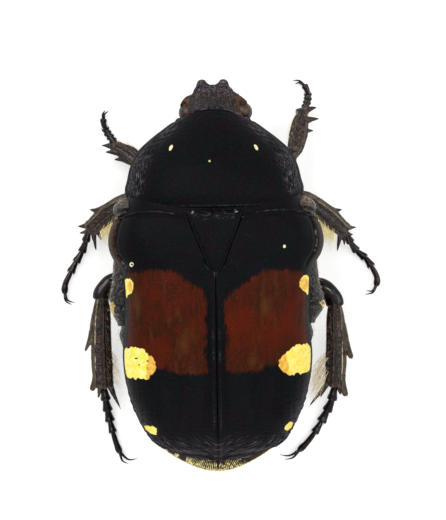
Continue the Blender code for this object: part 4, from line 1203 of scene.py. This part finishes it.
def make_abdomen():
    """Hind body: six rings that overlap like roof tiles, polished in the middle, pitted at the
    sides."""
    y = np.linspace(SEGMENTS[0], SEGMENTS[-1], 200)
    drawn = np.full(y.shape, 0.07)
    for start, end in zip(SEGMENTS, SEGMENTS[1:]):
        share = (y - start) / (end - start)
        tile = 0.12 * (1 - ease(share, 0.0, 0.45)) + 0.1 * ease(share, 0.95, 1.0)
        drawn = np.where((share >= 0) & (share < 1), tile, drawn)
    grid = trunk_grid(abdomen_half, y, drawn, 200)
    normals = grid_normals(grid, True)
    side = ease(np.abs(grid[..., 0]), 2.0, 3.0)
    high = ease(grid[..., 2], 2.2, 3.0)
    deep, number = pits(grid, 0.16, 91)
    pit = ease(deep, 0.45, 0.12)
    grid = raised(grid, normals, -0.025 * pit * (0.25 + 0.75 * side))
    hoary = side * high * (0.4 + 0.6 * ease(noise(grid, 0.4, 92), -0.2, 0.5))
    # The pit mark paints shade into the pits
    marks = {"pit": 0.7 * pit * (number > 0.2), "hoary": hoary}
    piece("abdomen_rings", closed_loft(grid), FLANK_SKIN, "abdomen", marks)


def make_pygidium():
    """The tail plate past the wing cases, scratched in rays that run to its edge."""
    start = PYGIDIUM_FRONT - 0.15
    rows, around = TAIL_GRID
    share = np.linspace(0, 1, rows)[:, None]
    y = start + (PYGIDIUM_TIP - PYGIDIUM_FRONT + 0.15) * np.sin(share * PI / 2)
    top, under = pygidium_top(y), pygidium_under(y)
    x, z, _ = section(pygidium_half(y), top, (top + under) / 2, under, 3.0, 2.2, around)
    grid = stack(1.07 * x, y + 0.05 * ease(y, 7.2, PYGIDIUM_TIP), z)
    normals = grid_normals(grid, True)
    place = grid[..., 1]
    across = np.abs(x)
    facing = normals[..., 2]
    bearing = np.arctan2(x, place - 6.2)
    drift = 0.3 * noise(stack(bearing / 0.2, place), 1.0, 101)
    ray = 0.58 + 0.45 * np.cos(TAU * (bearing / 0.045 + drift))
    ray += 0.4 * noise(stack(x, place), 0.1, 102)
    blotch = noise(stack(x, place), 0.22, 103)
    ray = ray * ease(across, 1.3, 0.8) + (0.65 + blotch) * ease(across, 0.8, 1.3)
    ray = ray - 0.5 * hump(x, 1.05, 0.22) + 0.5 * ease(place, 7.5, 7.3)
    rim = np.maximum(ease(facing, 0.5, 0.25), ease(place, 7.8, 7.84)) * ease(facing, -0.2, 0.0)
    spots = hump(across, 0.62, 0.34) * ease(place, 7.4, 7.6) * ease(facing, 0.1, -0.1)
    below = (0.95 + 0.35 * blotch - 0.9 * spots) * ease(facing, 0.1, -0.1)
    ray = np.clip(np.maximum(ray * (1 - rim) * ease(facing, -0.1, 0.1), below), 0, 1)
    form = closed_loft(raised(grid, normals, -0.014 * ray))
    piece("tail_plate", form, RIM, "pygidium", {"ray": ray})


def begun_inside(path, length):
    """A limb's points with the first one moved back along it, into the joint."""
    path = np.array(path, float)
    return np.concatenate([[path[0] + unit(path[0] - path[1]) * length], path[1:]])


# Legs, as posed: the line and half sizes of each thigh and shin, and the line of each foot.
# A tooth is (root, tip, radius, bluntness), a spur (root, tip, radius), a claw a line.

# The height of a foot's middle line over the floor
SOLE = 0.23
LEGS = {
    "front_left": {
        "femur": [(1.0, -4.36, 0.98), (1.6, -4.08, 1.08), (2.2, -3.94, 1.25), (2.52, -4.1, 1.38)],
        "femur_size": (0.36, 0.29),
        "tibia": [(2.56, -4.14, 1.38), (3.27, -4.84, 1.0), (3.93, -5.28, 0.72)],
        "tibia_size": [(0.22, 0.24), (0.27, 0.27), (0.3, 0.27), (0.14, 0.2)],
        "teeth": [((3.72, -5.12, 0.74), (4.5, -5.26, 0.58), 0.25, 0.05),
                  ((3.5, -4.88, 0.82), (4.36, -4.99, 0.68), 0.25, 0.05),
                  ((3.26, -4.62, 0.96), (4.0, -4.68, 0.8), 0.23, 0.05)],
        "spurs": [((3.75, -5.2, 0.6), (3.98, -5.42, 0.3), 0.09)],
        "foot": [(4.02, -5.36, 0.62), (4.13, -5.57, 0.42), (4.33, -5.89, 0.25),
                 (4.42, -6.22, SOLE), (4.4, -6.38, SOLE)],
        "claws": [[(4.4, -6.3, 0.2), (4.38, -6.5, 0.24), (4.2, -6.65, 0.1)],
                  [(4.4, -6.3, 0.2), (4.5, -6.5, 0.24), (4.44, -6.72, 0.1)]],
    },
    "front_right": {
        "femur": [(-1.0, -4.38, 0.98), (-2.0, -4.45, 1.15), (-2.85, -4.45, 1.42),
                  (-3.25, -4.75, 1.5)],
        "femur_size": (0.36, 0.29),
        "tibia": [(-3.22, -4.8, 1.5), (-3.4, -5.56, 1.15), (-3.5, -6.05, 0.95),
                  (-3.64, -6.55, 0.72)],
        "tibia_size": [(0.23, 0.25), (0.31, 0.27), (0.36, 0.27), (0.31, 0.27), (0.14, 0.2)],
        "teeth": [((-3.46, -6.36, 0.82), (-4.16, -6.66, 0.6), 0.27, 0.05),
                  ((-3.42, -5.98, 0.98), (-4.24, -6.2, 0.75), 0.27, 0.05),
                  ((-3.36, -5.58, 1.15), (-4.02, -5.72, 1.0), 0.24, 0.05)],
        "spurs": [((-3.55, -6.4, 0.6), (-3.64, -6.72, 0.3), 0.09)],
        "foot": [(-3.68, -6.62, 0.62), (-3.79, -6.88, 0.42), (-3.83, -7.14, 0.26),
                 (-3.78, -7.4, SOLE), (-3.66, -7.6, SOLE)],
        "claws": [[(-3.7, -7.52, 0.2), (-3.5, -7.74, 0.24), (-3.22, -7.77, 0.1)],
                  [(-3.7, -7.52, 0.2), (-3.5, -7.6, 0.24), (-3.38, -7.5, 0.1)]],
    },
    "middle_left": {
        "femur": [(1.06, -2.07, 0.96), (1.9, -2.75, 1.1), (2.7, -3.3, 1.45), (3.18, -3.25, 1.7)],
        "femur_size": (0.42, 0.29),
        "tibia": [(3.26, -3.12, 1.72), (4.22, -2.56, 1.22), (5.04, -1.88, 0.74)],
        "tibia_size": [(0.26, 0.26), (0.35, 0.27), (0.37, 0.27), (0.28, 0.24)],
        "teeth": [((4.4, -2.66, 1.1), (5.02, -2.68, 0.95), 0.24, 0.05),
                  ((5.0, -2.08, 0.78), (5.51, -2.02, 0.6), 0.18, 0.05),
                  ((4.98, -1.86, 0.72), (5.46, -1.74, 0.55), 0.15, 0.05)],
        "spurs": [((4.9, -1.84, 0.66), (4.79, -1.0, 0.42), 0.11),
                  ((4.75, -1.9, 0.66), (4.56, -1.42, 0.5), 0.1)],
        "foot": [(5.13, -1.82, 0.62), (5.2, -1.42, 0.42), (5.37, -0.98, 0.26), (5.65, -0.51, SOLE),
                 (5.86, -0.11, SOLE), (6.06, 0.34, SOLE), (6.09, 0.74, SOLE)],
        "claws": [[(6.09, 0.64, 0.2), (5.97, 0.94, 0.24), (5.68, 1.05, 0.1)],
                  [(6.09, 0.64, 0.2), (6.12, 0.98, 0.24), (5.93, 1.2, 0.1)]],
    },
    "middle_right": {
        "femur": [(-1.06, -2.07, 0.96), (-1.95, -2.7, 1.1), (-2.85, -3.2, 1.45),
                  (-3.36, -3.16, 1.7)],
        "femur_size": (0.42, 0.29),
        "tibia": [(-3.44, -3.12, 1.72), (-4.42, -2.4, 1.22), (-5.27, -1.62, 0.74)],
        "tibia_size": [(0.26, 0.26), (0.34, 0.27), (0.37, 0.27), (0.28, 0.24)],
        "teeth": [((-4.52, -2.52, 1.1), (-5.14, -2.54, 0.95), 0.24, 0.05),
                  ((-5.2, -1.84, 0.78), (-5.69, -1.82, 0.6), 0.18, 0.05),
                  ((-5.2, -1.6, 0.72), (-5.58, -1.52, 0.55), 0.15, 0.05)],
        "spurs": [((-5.05, -1.6, 0.66), (-4.91, -0.84, 0.42), 0.11),
                  ((-5.2, -1.55, 0.66), (-5.2, -1.06, 0.5), 0.1)],
        "foot": [(-5.34, -1.54, 0.62), (-5.46, -1.2, 0.42), (-5.69, -0.87, 0.26),
                 (-6.07, -0.53, SOLE), (-6.34, -0.12, SOLE), (-6.5, 0.26, SOLE),
                 (-6.46, 0.62, SOLE)],
        "claws": [[(-6.47, 0.52, 0.2), (-6.32, 0.82, 0.24), (-6.01, 0.9, 0.1)],
                  [(-6.47, 0.52, 0.2), (-6.26, 0.72, 0.24), (-6.12, 0.6, 0.1)]],
    },
    "hind_left": {
        "femur": [(1.38, 1.16, 0.98), (2.4, 0.82, 1.12), (3.5, 0.38, 1.5), (4.26, 0.34, 1.78),
                  (4.55, 0.7, 1.8), (4.6, 1.02, 1.8)],
        "femur_size": (0.5, 0.29),
        "tibia": [(4.56, 0.94, 1.78), (4.62, 2.6, 1.25), (4.57, 4.5, 0.74)],
        "tibia_size": [(0.28, 0.27), (0.36, 0.27), (0.39, 0.27), (0.41, 0.27), (0.38, 0.25)],
        "teeth": [((4.74, 1.5, 1.55), (5.28, 2.99, 1.1), 0.24, 0.12),
                  ((4.82, 3.9, 0.9), (5.06, 4.6, 0.64), 0.16, 0.6),
                  ((4.7, 4.3, 0.74), (4.8, 4.88, 0.52), 0.12, 0.3)],
        "spurs": [((4.4, 4.25, 0.7), (3.88, 5.4, 0.42), 0.12),
                  ((4.3, 4.3, 0.7), (4.05, 5.0, 0.5), 0.1)],
        "foot": [(4.55, 4.6, 0.62), (4.48, 5.07, 0.4), (4.37, 5.67, 0.24), (4.22, 6.32, SOLE),
                 (4.08, 6.8, SOLE), (3.93, 7.18, SOLE)],
        "claws": [[(3.98, 7.06, 0.2), (3.6, 7.4, 0.24), (3.26, 7.37, 0.1)],
                  [(3.98, 7.06, 0.2), (3.88, 7.46, 0.24), (3.66, 7.59, 0.1)]],
    },
    "hind_right": {
        "femur": [(-1.38, 1.18, 0.98), (-2.4, 0.95, 1.12), (-3.5, 0.7, 1.5), (-4.42, 0.7, 1.78),
                  (-4.74, 1.1, 1.8), (-4.78, 1.42, 1.8)],
        "femur_size": (0.5, 0.29),
        "tibia": [(-4.76, 1.35, 1.78), (-4.79, 2.9, 1.25), (-4.72, 4.58, 0.74)],
        "tibia_size": [(0.28, 0.27), (0.36, 0.27), (0.39, 0.27), (0.41, 0.27), (0.38, 0.25)],
        "teeth": [((-4.94, 2.0, 1.45), (-5.43, 3.48, 1.1), 0.25, 0.32),
                  ((-4.96, 4.2, 0.85), (-5.18, 4.98, 0.6), 0.17, 0.6),
                  ((-4.85, 4.35, 0.74), (-4.96, 4.9, 0.52), 0.12, 0.3)],
        "spurs": [((-4.5, 4.34, 0.7), (-3.66, 5.4, 0.42), 0.12),
                  ((-4.45, 4.4, 0.7), (-4.12, 5.06, 0.5), 0.1)],
        "foot": [(-4.71, 4.68, 0.62), (-4.58, 5.17, 0.4), (-4.33, 5.69, 0.24), (-3.96, 6.32, SOLE),
                 (-3.55, 6.85, SOLE), (-3.19, 7.19, SOLE)],
        "claws": [[(-3.26, 7.1, 0.2), (-2.85, 7.34, 0.24), (-2.47, 7.3, 0.1)],
                  [(-3.26, 7.1, 0.2), (-3.0, 7.44, 0.24), (-2.7, 7.52, 0.1)]],
    },
}


# How a thigh swells along its length
thigh_swell = through((0, 0.62), (0.12, 0.82), (0.3, 1.0), (0.5, 1.02), (0.7, 0.9), (0.86, 0.72),
                      (0.93, 0.74), (1, 0.7))


def make_thigh(name, leg):
    """A polished thigh, thickest in its middle, with a knee knob and a row of hair pits."""
    wide, thick = leg["femur_size"]
    path = smooth_path(begun_inside(leg["femur"], 0.1), 90)
    swell = thigh_swell(np.linspace(0, 1, 90))
    grid = limb(path, wide * swell, thick * swell ** 0.5, around=56, end=0.16)
    normals = grid_normals(grid, True)
    deep, _ = pits(grid, 0.17, 111)
    height = -0.018 * ease(deep, 0.28, 0.1) + 0.006 * noise(grid, 0.25, 112)
    form = closed_loft(raised(grid, normals, height))
    piece(f"thigh_{name}", form, POLISHED, f"femur_{name}")


def shin_path(leg, count):
    """The middle line of a shin, begun a little inside the knee."""
    return smooth_path(begun_inside(leg["tibia"], 0.24), count)


def shin_sizes(leg, count):
    """Half widths and half thicknesses along a shin."""
    at = np.linspace(0, 1, count)
    places = np.linspace(0, 1, len(leg["tibia_size"]))
    return [np.interp(at, places, sizes) for sizes in zip(*leg["tibia_size"])]


SHIN_RIDGES = 7
END_SPINES = 9
# How pale the worn ridge is on each pair of shins
SHIN_PALE = {"front": 0.1, "middle": 0.5, "hind": 0.9}


def make_shin(name, leg):
    """A ridged shin that widens to a toothed end, with its outer teeth and end spurs."""
    pair = name.split("_")[0]
    count = 80
    path = shin_path(leg, count)
    wide, thick = shin_sizes(leg, count)
    share = np.linspace(0, 1, count)
    slim = 0.84 if pair == "hind" else 0.62
    neck = slim + (1 - slim) * ease(share, 0.02, 0.2)
    lip = 1 + 0.07 * hump(share, 0.955, 0.03)
    shin = path[-1] - path[0]
    ahead, across, up = limb_axes(path, shin)
    # The toothed side is ahead or behind across, and the ridges are laid out from it
    outer = np.sign(np.dot(np.array(leg["teeth"][1][1]) - path[-1], across[-1]))
    parts = [closed_loft(limb(path, wide * neck * lip, thick * neck * lip, around=72, end=0.07,
                              ridge=0.07 * outer, ends=shin))]
    for root, tip, radius, blunt in leg["teeth"]:
        root, tip = np.array(root), np.array(tip)
        bend = (root + tip) / 2
        bend = bend + 0.09 * shin / np.linalg.norm(shin) * np.linalg.norm(tip - root)
        power = 1.0 if blunt < 0.1 else 1.35
        parts.append(spike([root, bend, tip], radius, around=12, count=20, tip=blunt, power=power))
    for root, tip, radius in leg["spurs"]:
        parts.append(spike([root, tip], radius, around=12, count=16, tip=0.08))
    for k in range(END_SPINES):
        turn = TAU * (k + 0.5) / END_SPINES
        out = across[-1] * math.cos(turn) * wide[-1] * 0.92
        out = out + up[-1] * math.sin(turn) * thick[-1] * 0.92
        root = path[-1] - ahead[-1] * 0.08 + out
        tip = root + ahead[-1] * 0.11 + out * 0.08
        parts.append(spike([root, tip], 0.03, around=6, count=5, tip=0.1))
    points, faces, normals = fused(parts, voxel=0.026, smoothing=2)
    axis = points[:, None] - path[None, ::4]
    place = np.argmin((axis ** 2).sum(axis=2), axis=1) * 4
    local = points - path[place]
    turn = np.arctan2((local * up[place]).sum(axis=1) / thick[place],
                      (local * across[place]).sum(axis=1) / wide[place])
    ridge = 0.5 + 0.5 * outer * np.cos(SHIN_RIDGES * turn)
    deep, _ = pits(points, 0.12, 121)
    pit = ease(deep, 0.45, 0.15) * (1 - ridge)
    height = -0.03 * pit + 0.012 * ridge + 0.008 * noise(points, 0.15, 122)
    points = raised(points, normals, height)
    middle = PI / 2 - outer * (PI / 2 - TAU / SHIN_RIDGES)
    pale = SHIN_PALE[pair] * ease(np.abs(turn - middle), 0.45, 0.3) + 0.08
    worn = ease(ridge, 0.955, 1.0) * pale * ease(noise(points, 0.5, 123), -0.6, 0.0)
    blade = ease(outer * (turn - middle), -0.1, -0.3) * (np.abs(turn - PI / 2) < PI / 2 + 0.6)
    # The pit mark paints shade into the pits of the grooves
    marks = {"pit": 0.8 * pit, "ridge": worn, "blade": blade * (pair != "front")}
    piece(f"shin_{name}", (points, faces), SHIN, f"tibia_{name}", marks)


# The lengths of a foot's five joints as shares of it, and their half widths along each
FOOT_SHARES = (0.19, 0.17, 0.16, 0.16, 0.32)
foot_joint = through((0, 0.08), (0.2, 0.105), (0.6, 0.136), (0.86, 0.162), (0.95, 0.155), (1, 0.09))
claw_joint = through((0, 0.08), (0.12, 0.095), (0.6, 0.115), (0.85, 0.13), (1, 0.09))


def foot_path(leg, count):
    """The middle line of a foot, begun inside the shin's end and let down to the floor."""
    path = np.array(leg["foot"])
    shin = np.array(leg["tibia"][-1]) - np.array(leg["tibia"][-2])
    path = np.concatenate([[path[0] - 0.1 * shin / np.linalg.norm(shin)], path[1:]])
    path[:, 2] -= 0.07 * ease(path[:, 2], 0.6, 0.26)
    return smooth_path(path, count)


def make_foot(name, leg):
    """Five slender joints, each flared with small spines at its end, and two curved claws."""
    hind = name.startswith("hind")
    path = foot_path(leg, 201)
    parts = []
    start = 0.0
    for number, share in enumerate(FOOT_SHARES):
        last = number == len(FOOT_SHARES) - 1
        first = int(200 * max(start - 0.012, 0))
        end = int(200 * (start + share * (0.96 if last else 1.0)))
        bone = path[first:end + 1]
        size = (claw_joint if last else foot_joint)(np.linspace(0, 1, len(bone)))
        size = size * (1.28 if hind and number < 3 else 1.06)
        grid = limb(bone, size, size * 0.92, around=16, end=0.03)
        grid[..., 2] = np.maximum(grid[..., 2], 0.004)
        parts.append(closed_loft(grid))
        if not last:
            ahead, across, up = limb_axes(bone)
            for turn in (-0.4, -1.2, -1.9, -2.7):
                out = across[-1] * math.cos(turn) + up[-1] * math.sin(turn)
                root = bone[int(len(bone) * 0.88)] + out * 0.13
                tip = root + ahead[-1] * 0.12 + out * 0.03
                tip[2] = max(tip[2], 0.012)
                parts.append(spike([root, tip], 0.024, around=5, count=4, tip=0.1))
        start += share
    spread = 0.9 if hind else 0.55
    for claw in np.array(leg["claws"]):
        base = np.array(leg["claws"][0])
        hook = base + spread * (claw - base)
        hook = np.concatenate([[path[-9]], hook[1:]])
        hook[:, 2] = np.maximum(hook[:, 2] - 0.06, 0.05)
        parts.append(spike(hook, 0.062, around=12, count=22, tip=0.12))
    piece(f"foot_{name}", joined(parts), POLISHED, f"tarsus_{name}")


# Hairs, set on their roots by Geometry Nodes

HAIR_SIDES = 3
HAIR_STEPS = 4
HAIR_MARKS = {"lie": "FLOAT_VECTOR", "sag": "FLOAT_VECTOR", "reach": "FLOAT"}
# The width of one hair's own patch on the unwrap
PATCH = 0.003


def hair_tree(name, material):
    """A tree that grows one bent, tapered hair on each root, along the root's own directions."""
    tree = bpy.data.node_groups.new(name, "GeometryNodeTree")
    for label, way, kind in (("Roots", "INPUT", "Geometry"), ("Slimness", "INPUT", "Float"),
                             ("Bend", "INPUT", "Float"), ("Hairs", "OUTPUT", "Geometry")):
        tree.interface.new_socket(label, in_out=way, socket_type=f"NodeSocket{kind}")
    given = add(tree, "NodeGroupInput").outputs
    tip = add(tree, "ShaderNodeCombineXYZ", {"X": given["Bend"], "Z": 1.0})
    line = add(tree, "GeometryNodeCurveQuadraticBezier",
               {"Resolution": HAIR_STEPS, "Start": (0, 0, 0), "Middle": (0, 0, 0.55),
                "End": tip.outputs["Vector"]})
    along = add(tree, "GeometryNodeSplineParameter").outputs["Factor"]
    taper = add(tree, "ShaderNodeMapRange", {"Value": along, "To Min": 1.0, "To Max": 0.12})
    width = add(tree, "ShaderNodeMath", {0: taper.outputs[0], 1: given["Slimness"]},
                operation="MULTIPLY")
    ring = add(tree, "GeometryNodeCurvePrimitiveCircle", {"Resolution": HAIR_SIDES, "Radius": 1.0})
    hair = add(tree, "GeometryNodeCurveToMesh",
               {"Curve": line.outputs["Curve"], "Profile Curve": ring.outputs["Curve"],
                "Scale": width.outputs["Value"], "Fill Caps": True})
    lie, sag, reach = [add(tree, "GeometryNodeInputNamedAttribute", {"Name": label},
                           data_type=kind).outputs["Attribute"]
                       for label, kind in HAIR_MARKS.items()]
    turn = add(tree, "FunctionNodeAxesToRotation", {"Primary Axis": lie, "Secondary Axis": sag},
               primary_axis="Z", secondary_axis="X")
    grown = add(tree, "GeometryNodeInstanceOnPoints",
                {"Points": given["Roots"], "Instance": hair.outputs["Mesh"],
                 "Rotation": turn.outputs["Rotation"], "Scale": reach})
    real = add(tree, "GeometryNodeRealizeInstances", {"Geometry": grown.outputs["Instances"]})
    smooth = add(tree, "GeometryNodeSetShadeSmooth", {"Geometry": real.outputs["Geometry"]})
    dressed = add(tree, "GeometryNodeSetMaterial",
                  {"Geometry": smooth.outputs["Geometry"], "Material": material})
    add(tree, "NodeGroupOutput", {"Hairs": dressed.outputs["Geometry"]})
    return tree


def grow_hairs(name, material, hairs, slimness, bend):
    """Hairs as one plain mesh. hairs holds their roots, the way each lies, the way it sags, its
    reach, and its place on an unwrap of the skin."""
    roots, lie, sag, reach, places = hairs
    mesh = raw_mesh(name, roots, [], MM)
    for (label, kind), values in zip(HAIR_MARKS.items(), (lie, sag, reach * MM)):
        keep_mark(mesh, label, values, kind)
    holder = placed(f"{name} roots", mesh)
    tree = hair_tree(name, material)
    growth = holder.modifiers.new("growth", "NODES")
    growth.node_group = tree
    for item in tree.interface.items_tree:
        if item.name in ("Slimness", "Bend"):
            growth[item.identifier] = slimness if item.name == "Slimness" else bend
    graph = bpy.context.evaluated_depsgraph_get()
    grown = bpy.data.meshes.new_from_object(holder.evaluated_get(graph), depsgraph=graph)
    holder.modifiers.remove(growth)
    bpy.data.objects.remove(holder)
    grown.name = name
    per_hair = len(grown.vertices) // len(roots)
    corners = read_all(grown.loops, "vertex_index", 1, np.int32)
    spot = corners % per_hair
    local = stack(spot % HAIR_SIDES / HAIR_SIDES, spot // HAIR_SIDES / HAIR_STEPS) - 0.5
    unwrap = places[corners // per_hair] + PATCH * local
    grown.uv_layers.new(name="OFBake").data.foreach_set("uv", unwrap.astype(np.float32).ravel())
    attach(placed(name, grown), "root")


def shin_roots(rng, leg, count, turns, spread, along):
    """Roots on a shin round an angle, with the directions out of it and down along it."""
    path = shin_path(leg, 200)
    wide, thick = shin_sizes(leg, 200)
    ahead, across, up = limb_axes(path)
    place = rng.uniform(along[0], along[1], count)
    i = (place * 199).astype(int)
    turn = turns + spread * rng.normal(0, 1, count)
    c, s = across[i] * np.cos(turn)[:, None], up[i] * np.sin(turn)[:, None]
    roots = path[i] + c * (wide[i] * 0.9)[:, None] + s * (thick[i] * 0.9)[:, None]
    return roots, unit(c + s), ahead[i], place, turn % TAU


def inner_turn(leg):
    """The angle round a shin that faces the body's middle line."""
    path = np.array(leg["tibia"])
    across = np.cross(path[-1] - path[0], (0, 0, 1))
    middle = path.mean(axis=0)
    towards = -middle * np.array((1, 1, 0)) + np.array((0, middle[1] + 2.2, 0))
    return 0.0 if np.dot(across, towards) > 0 else PI


def make_shin_hairs(name, material, rows, slimness, bend):
    """One coat piece of shin hairs. Each row is (leg, count, turn, spread, from, to, length,
    lean)."""
    rng = np.random.default_rng(201)
    order = list(LEGS)
    gathered = []
    for leg_name, count, turn, spread, start, end, length, lean in rows:
        leg = LEGS[leg_name]
        roots, out, ahead, place, angle = shin_roots(rng, leg, count, turn, spread, (start, end))
        lie = unit(out + lean * ahead + 0.18 * rng.normal(0, 1, (count, 3)))
        reach = length * rng.uniform(0.6, 1.1, count)
        tile = order.index(leg_name) / len(order)
        where = stack(tile + angle / TAU / len(order) * 0.9 + 0.01, 0.02 + 0.9 * place)
        gathered.append((roots, lie, ahead + 0 * lie, reach, where))
    hairs = [np.concatenate(values) for values in zip(*gathered)]
    grow_hairs(name, material, hairs, slimness, bend)


def make_flank_hairs():
    """Short pale hairs on the flanks, and golden ones round the tail plate."""
    rng = np.random.default_rng(202)
    count = 900
    y = rng.uniform(-3.0, 6.7, count)
    side = rng.choice((1.0, -1.0), count)
    half = np.where(y < THORAX_BACK, thorax_half(y), abdomen_half(y))
    rise = rng.uniform(-0.6, 1.3, count)
    x = side * (half - SIDE_CORNER * (1 - np.cos(rise)) - 0.01)
    z = elytra_side(y) - GAP - SIDE_SHOULDER + SIDE_SHOULDER * np.sin(rise)
    out = unit(stack(side * np.cos(rise), 0 * y, np.sin(rise)))
    lie = unit(out + np.array((0, 0.9, 0)) + 0.25 * rng.normal(0, 1, (count, 3)))
    reach = rng.uniform(0.08, 0.19, count)
    places = stack(0.25 + 0.2 * side + 0.05 * rise, 0.05 + 0.9 * (y + 3) / 10)
    hairs = (stack(x, y, z), lie, out, reach, places)
    grow_hairs("hairs_flanks", PALE_HAIR, hairs, slimness=0.035, bend=0.3)
    count = 420
    y = rng.uniform(7.0, 7.8, count)
    turn = rng.uniform(-0.5, 0.9, count)
    side = rng.choice((1.0, -1.0), count)
    middle = (pygidium_top(y) + pygidium_under(y)) / 2
    x = side * pygidium_half(y) * 0.97 * np.cos(turn)
    out = unit(stack(x * 0.45, 0 * y + 1.0, 0.25 * np.sin(turn)))
    lie = unit(out + 0.25 * rng.normal(0, 1, (count, 3)))
    reach = rng.uniform(0.06, 0.13, count)
    places = stack(0.7 + 0.1 * side * np.cos(turn), 0.05 + 0.5 * (y - 7))
    hairs = (stack(x, y, middle + 0.45 * np.sin(turn)), lie, out, reach, places)
    grow_hairs("hairs_tail", GOLD_HAIR, hairs, slimness=0.04, bend=0.15)


# Making the beetle

make_pronotum()
make_scutellum()
for side_name, side in (("left", 1), ("right", -1)):
    make_wing_case(side_name, side)
    make_eye(side_name)
    make_antenna(side_name, side)
make_head()
make_feelers()
make_collar()
make_thorax()
make_abdomen()
make_pygidium()

golden_rows, tan_rows, brown_rows = [], [], []
for leg_name, leg in LEGS.items():
    make_thigh(leg_name, leg)
    make_shin(leg_name, leg)
    make_foot(leg_name, leg)
    pair, leg_side = leg_name.split("_")
    inner = inner_turn(leg)
    if pair == "middle":
        golden_rows.append((leg_name, 420, inner, 0.28, 0.2, 0.86, 0.72, 0.5))
    elif pair == "hind":
        # The tan fringe is fuller and longer on the right
        count, length = (230, 1.1) if leg_side == "right" else (90, 0.7)
        tan_rows.append((leg_name, count, inner, 0.28, 0.6, 0.94, length, 1.0))
        brown_rows.append((leg_name, 260, inner, 0.5, 0.1, 0.98, 0.2, 1.6))
    else:
        golden_rows.append((leg_name, 200, inner, 0.4, 0.1, 0.95, 0.24, 0.7))
    brown_rows.append((leg_name, 420, 0.0, 2.2, 0.08, 0.98, 0.24, 2.2))
make_shin_hairs("hairs_shins_golden", GOLD_HAIR, golden_rows, slimness=0.013, bend=0.2)
make_shin_hairs("hairs_shins_tan", TAN_HAIR, tan_rows, slimness=0.014, bend=0.25)
make_shin_hairs("hairs_shins_brown", BROWN_HAIR, brown_rows, slimness=0.022, bend=0.2)
make_flank_hairs()


# Floor, light and camera

def make_floor():
    """Opal glass over a lamp, as insects are photographed on, so that the shadows stay faint."""
    material, _ = cuticle("lit opal glass", 0.9, 0.1,
                          {"Base Color": linear("BEBEBC"), "Emission Color": linear("FFFFFF"),
                           "Emission Strength": 0.56})
    corners = np.array([(-1, -1, 0), (1, -1, 0), (1, 1, 0), (-1, 1, 0)])
    mesh = raw_mesh("floor", corners, [(0, 1, 2, 3)], FLOOR_REACH)
    mesh.materials.append(material)
    placed("floor", mesh)


def make_light(name, place, size, power):
    """A soft round lamp that faces the beetle. Places and sizes are in millimetres."""
    light = bpy.data.lights.new(name, "AREA")
    light.shape = "DISK"
    light.size = size * MM
    light.energy = power
    made = placed(name, light)
    made.location = Vector(place) * MM
    made.rotation_mode = "QUATERNION"
    made.rotation_quaternion = (-Vector(place)).to_track_quat("-Z", "Y")


def make_world():
    """A pale room round the lit floor."""
    world = bpy.data.worlds.new("pale room")
    world.use_nodes = True
    back = world.node_tree.nodes["Background"]
    back.inputs["Color"].default_value = (1, 1, 1, 1)
    back.inputs["Strength"].default_value = 0.7
    bpy.context.scene.world = world


# Half the floor's width, in metres
FLOOR_REACH = 0.6
# What the picture shows from top to bottom, and where the camera stands and looks
FRAME_HEIGHT = 20.8
CAMERA_HEIGHT = 500.0
CAMERA_LEVEL = 3.5
CAMERA_MIDDLE = (-0.309, -0.575)
CAMERA_TURN = PI - 0.0155


def make_camera():
    """A long lens straight above, turned so that the head is at the top of the picture."""
    camera = bpy.data.cameras.new("camera")
    camera.lens = camera.sensor_width * (CAMERA_HEIGHT - CAMERA_LEVEL) / FRAME_HEIGHT
    camera.clip_start = 0.01
    camera.clip_end = 10
    made = placed("camera", camera)
    made.location = [length * MM for length in (*CAMERA_MIDDLE, CAMERA_HEIGHT)]
    made.rotation_euler = (0, 0, CAMERA_TURN)
    bpy.context.scene.camera = made


make_floor()
make_world()
make_light("key light", (60, -70, 110), size=80, power=0.11)
make_light("fill light", (-90, -20, 90), size=90, power=0.064)
make_light("back light", (10, 110, 80), size=90, power=0.06)
# A small lamp that gives polished parts their sharp glints
make_light("glint lamp", (-30, -50, 150), size=10, power=0.03)
make_camera()
bpy.context.scene.view_settings.view_transform = "Standard"
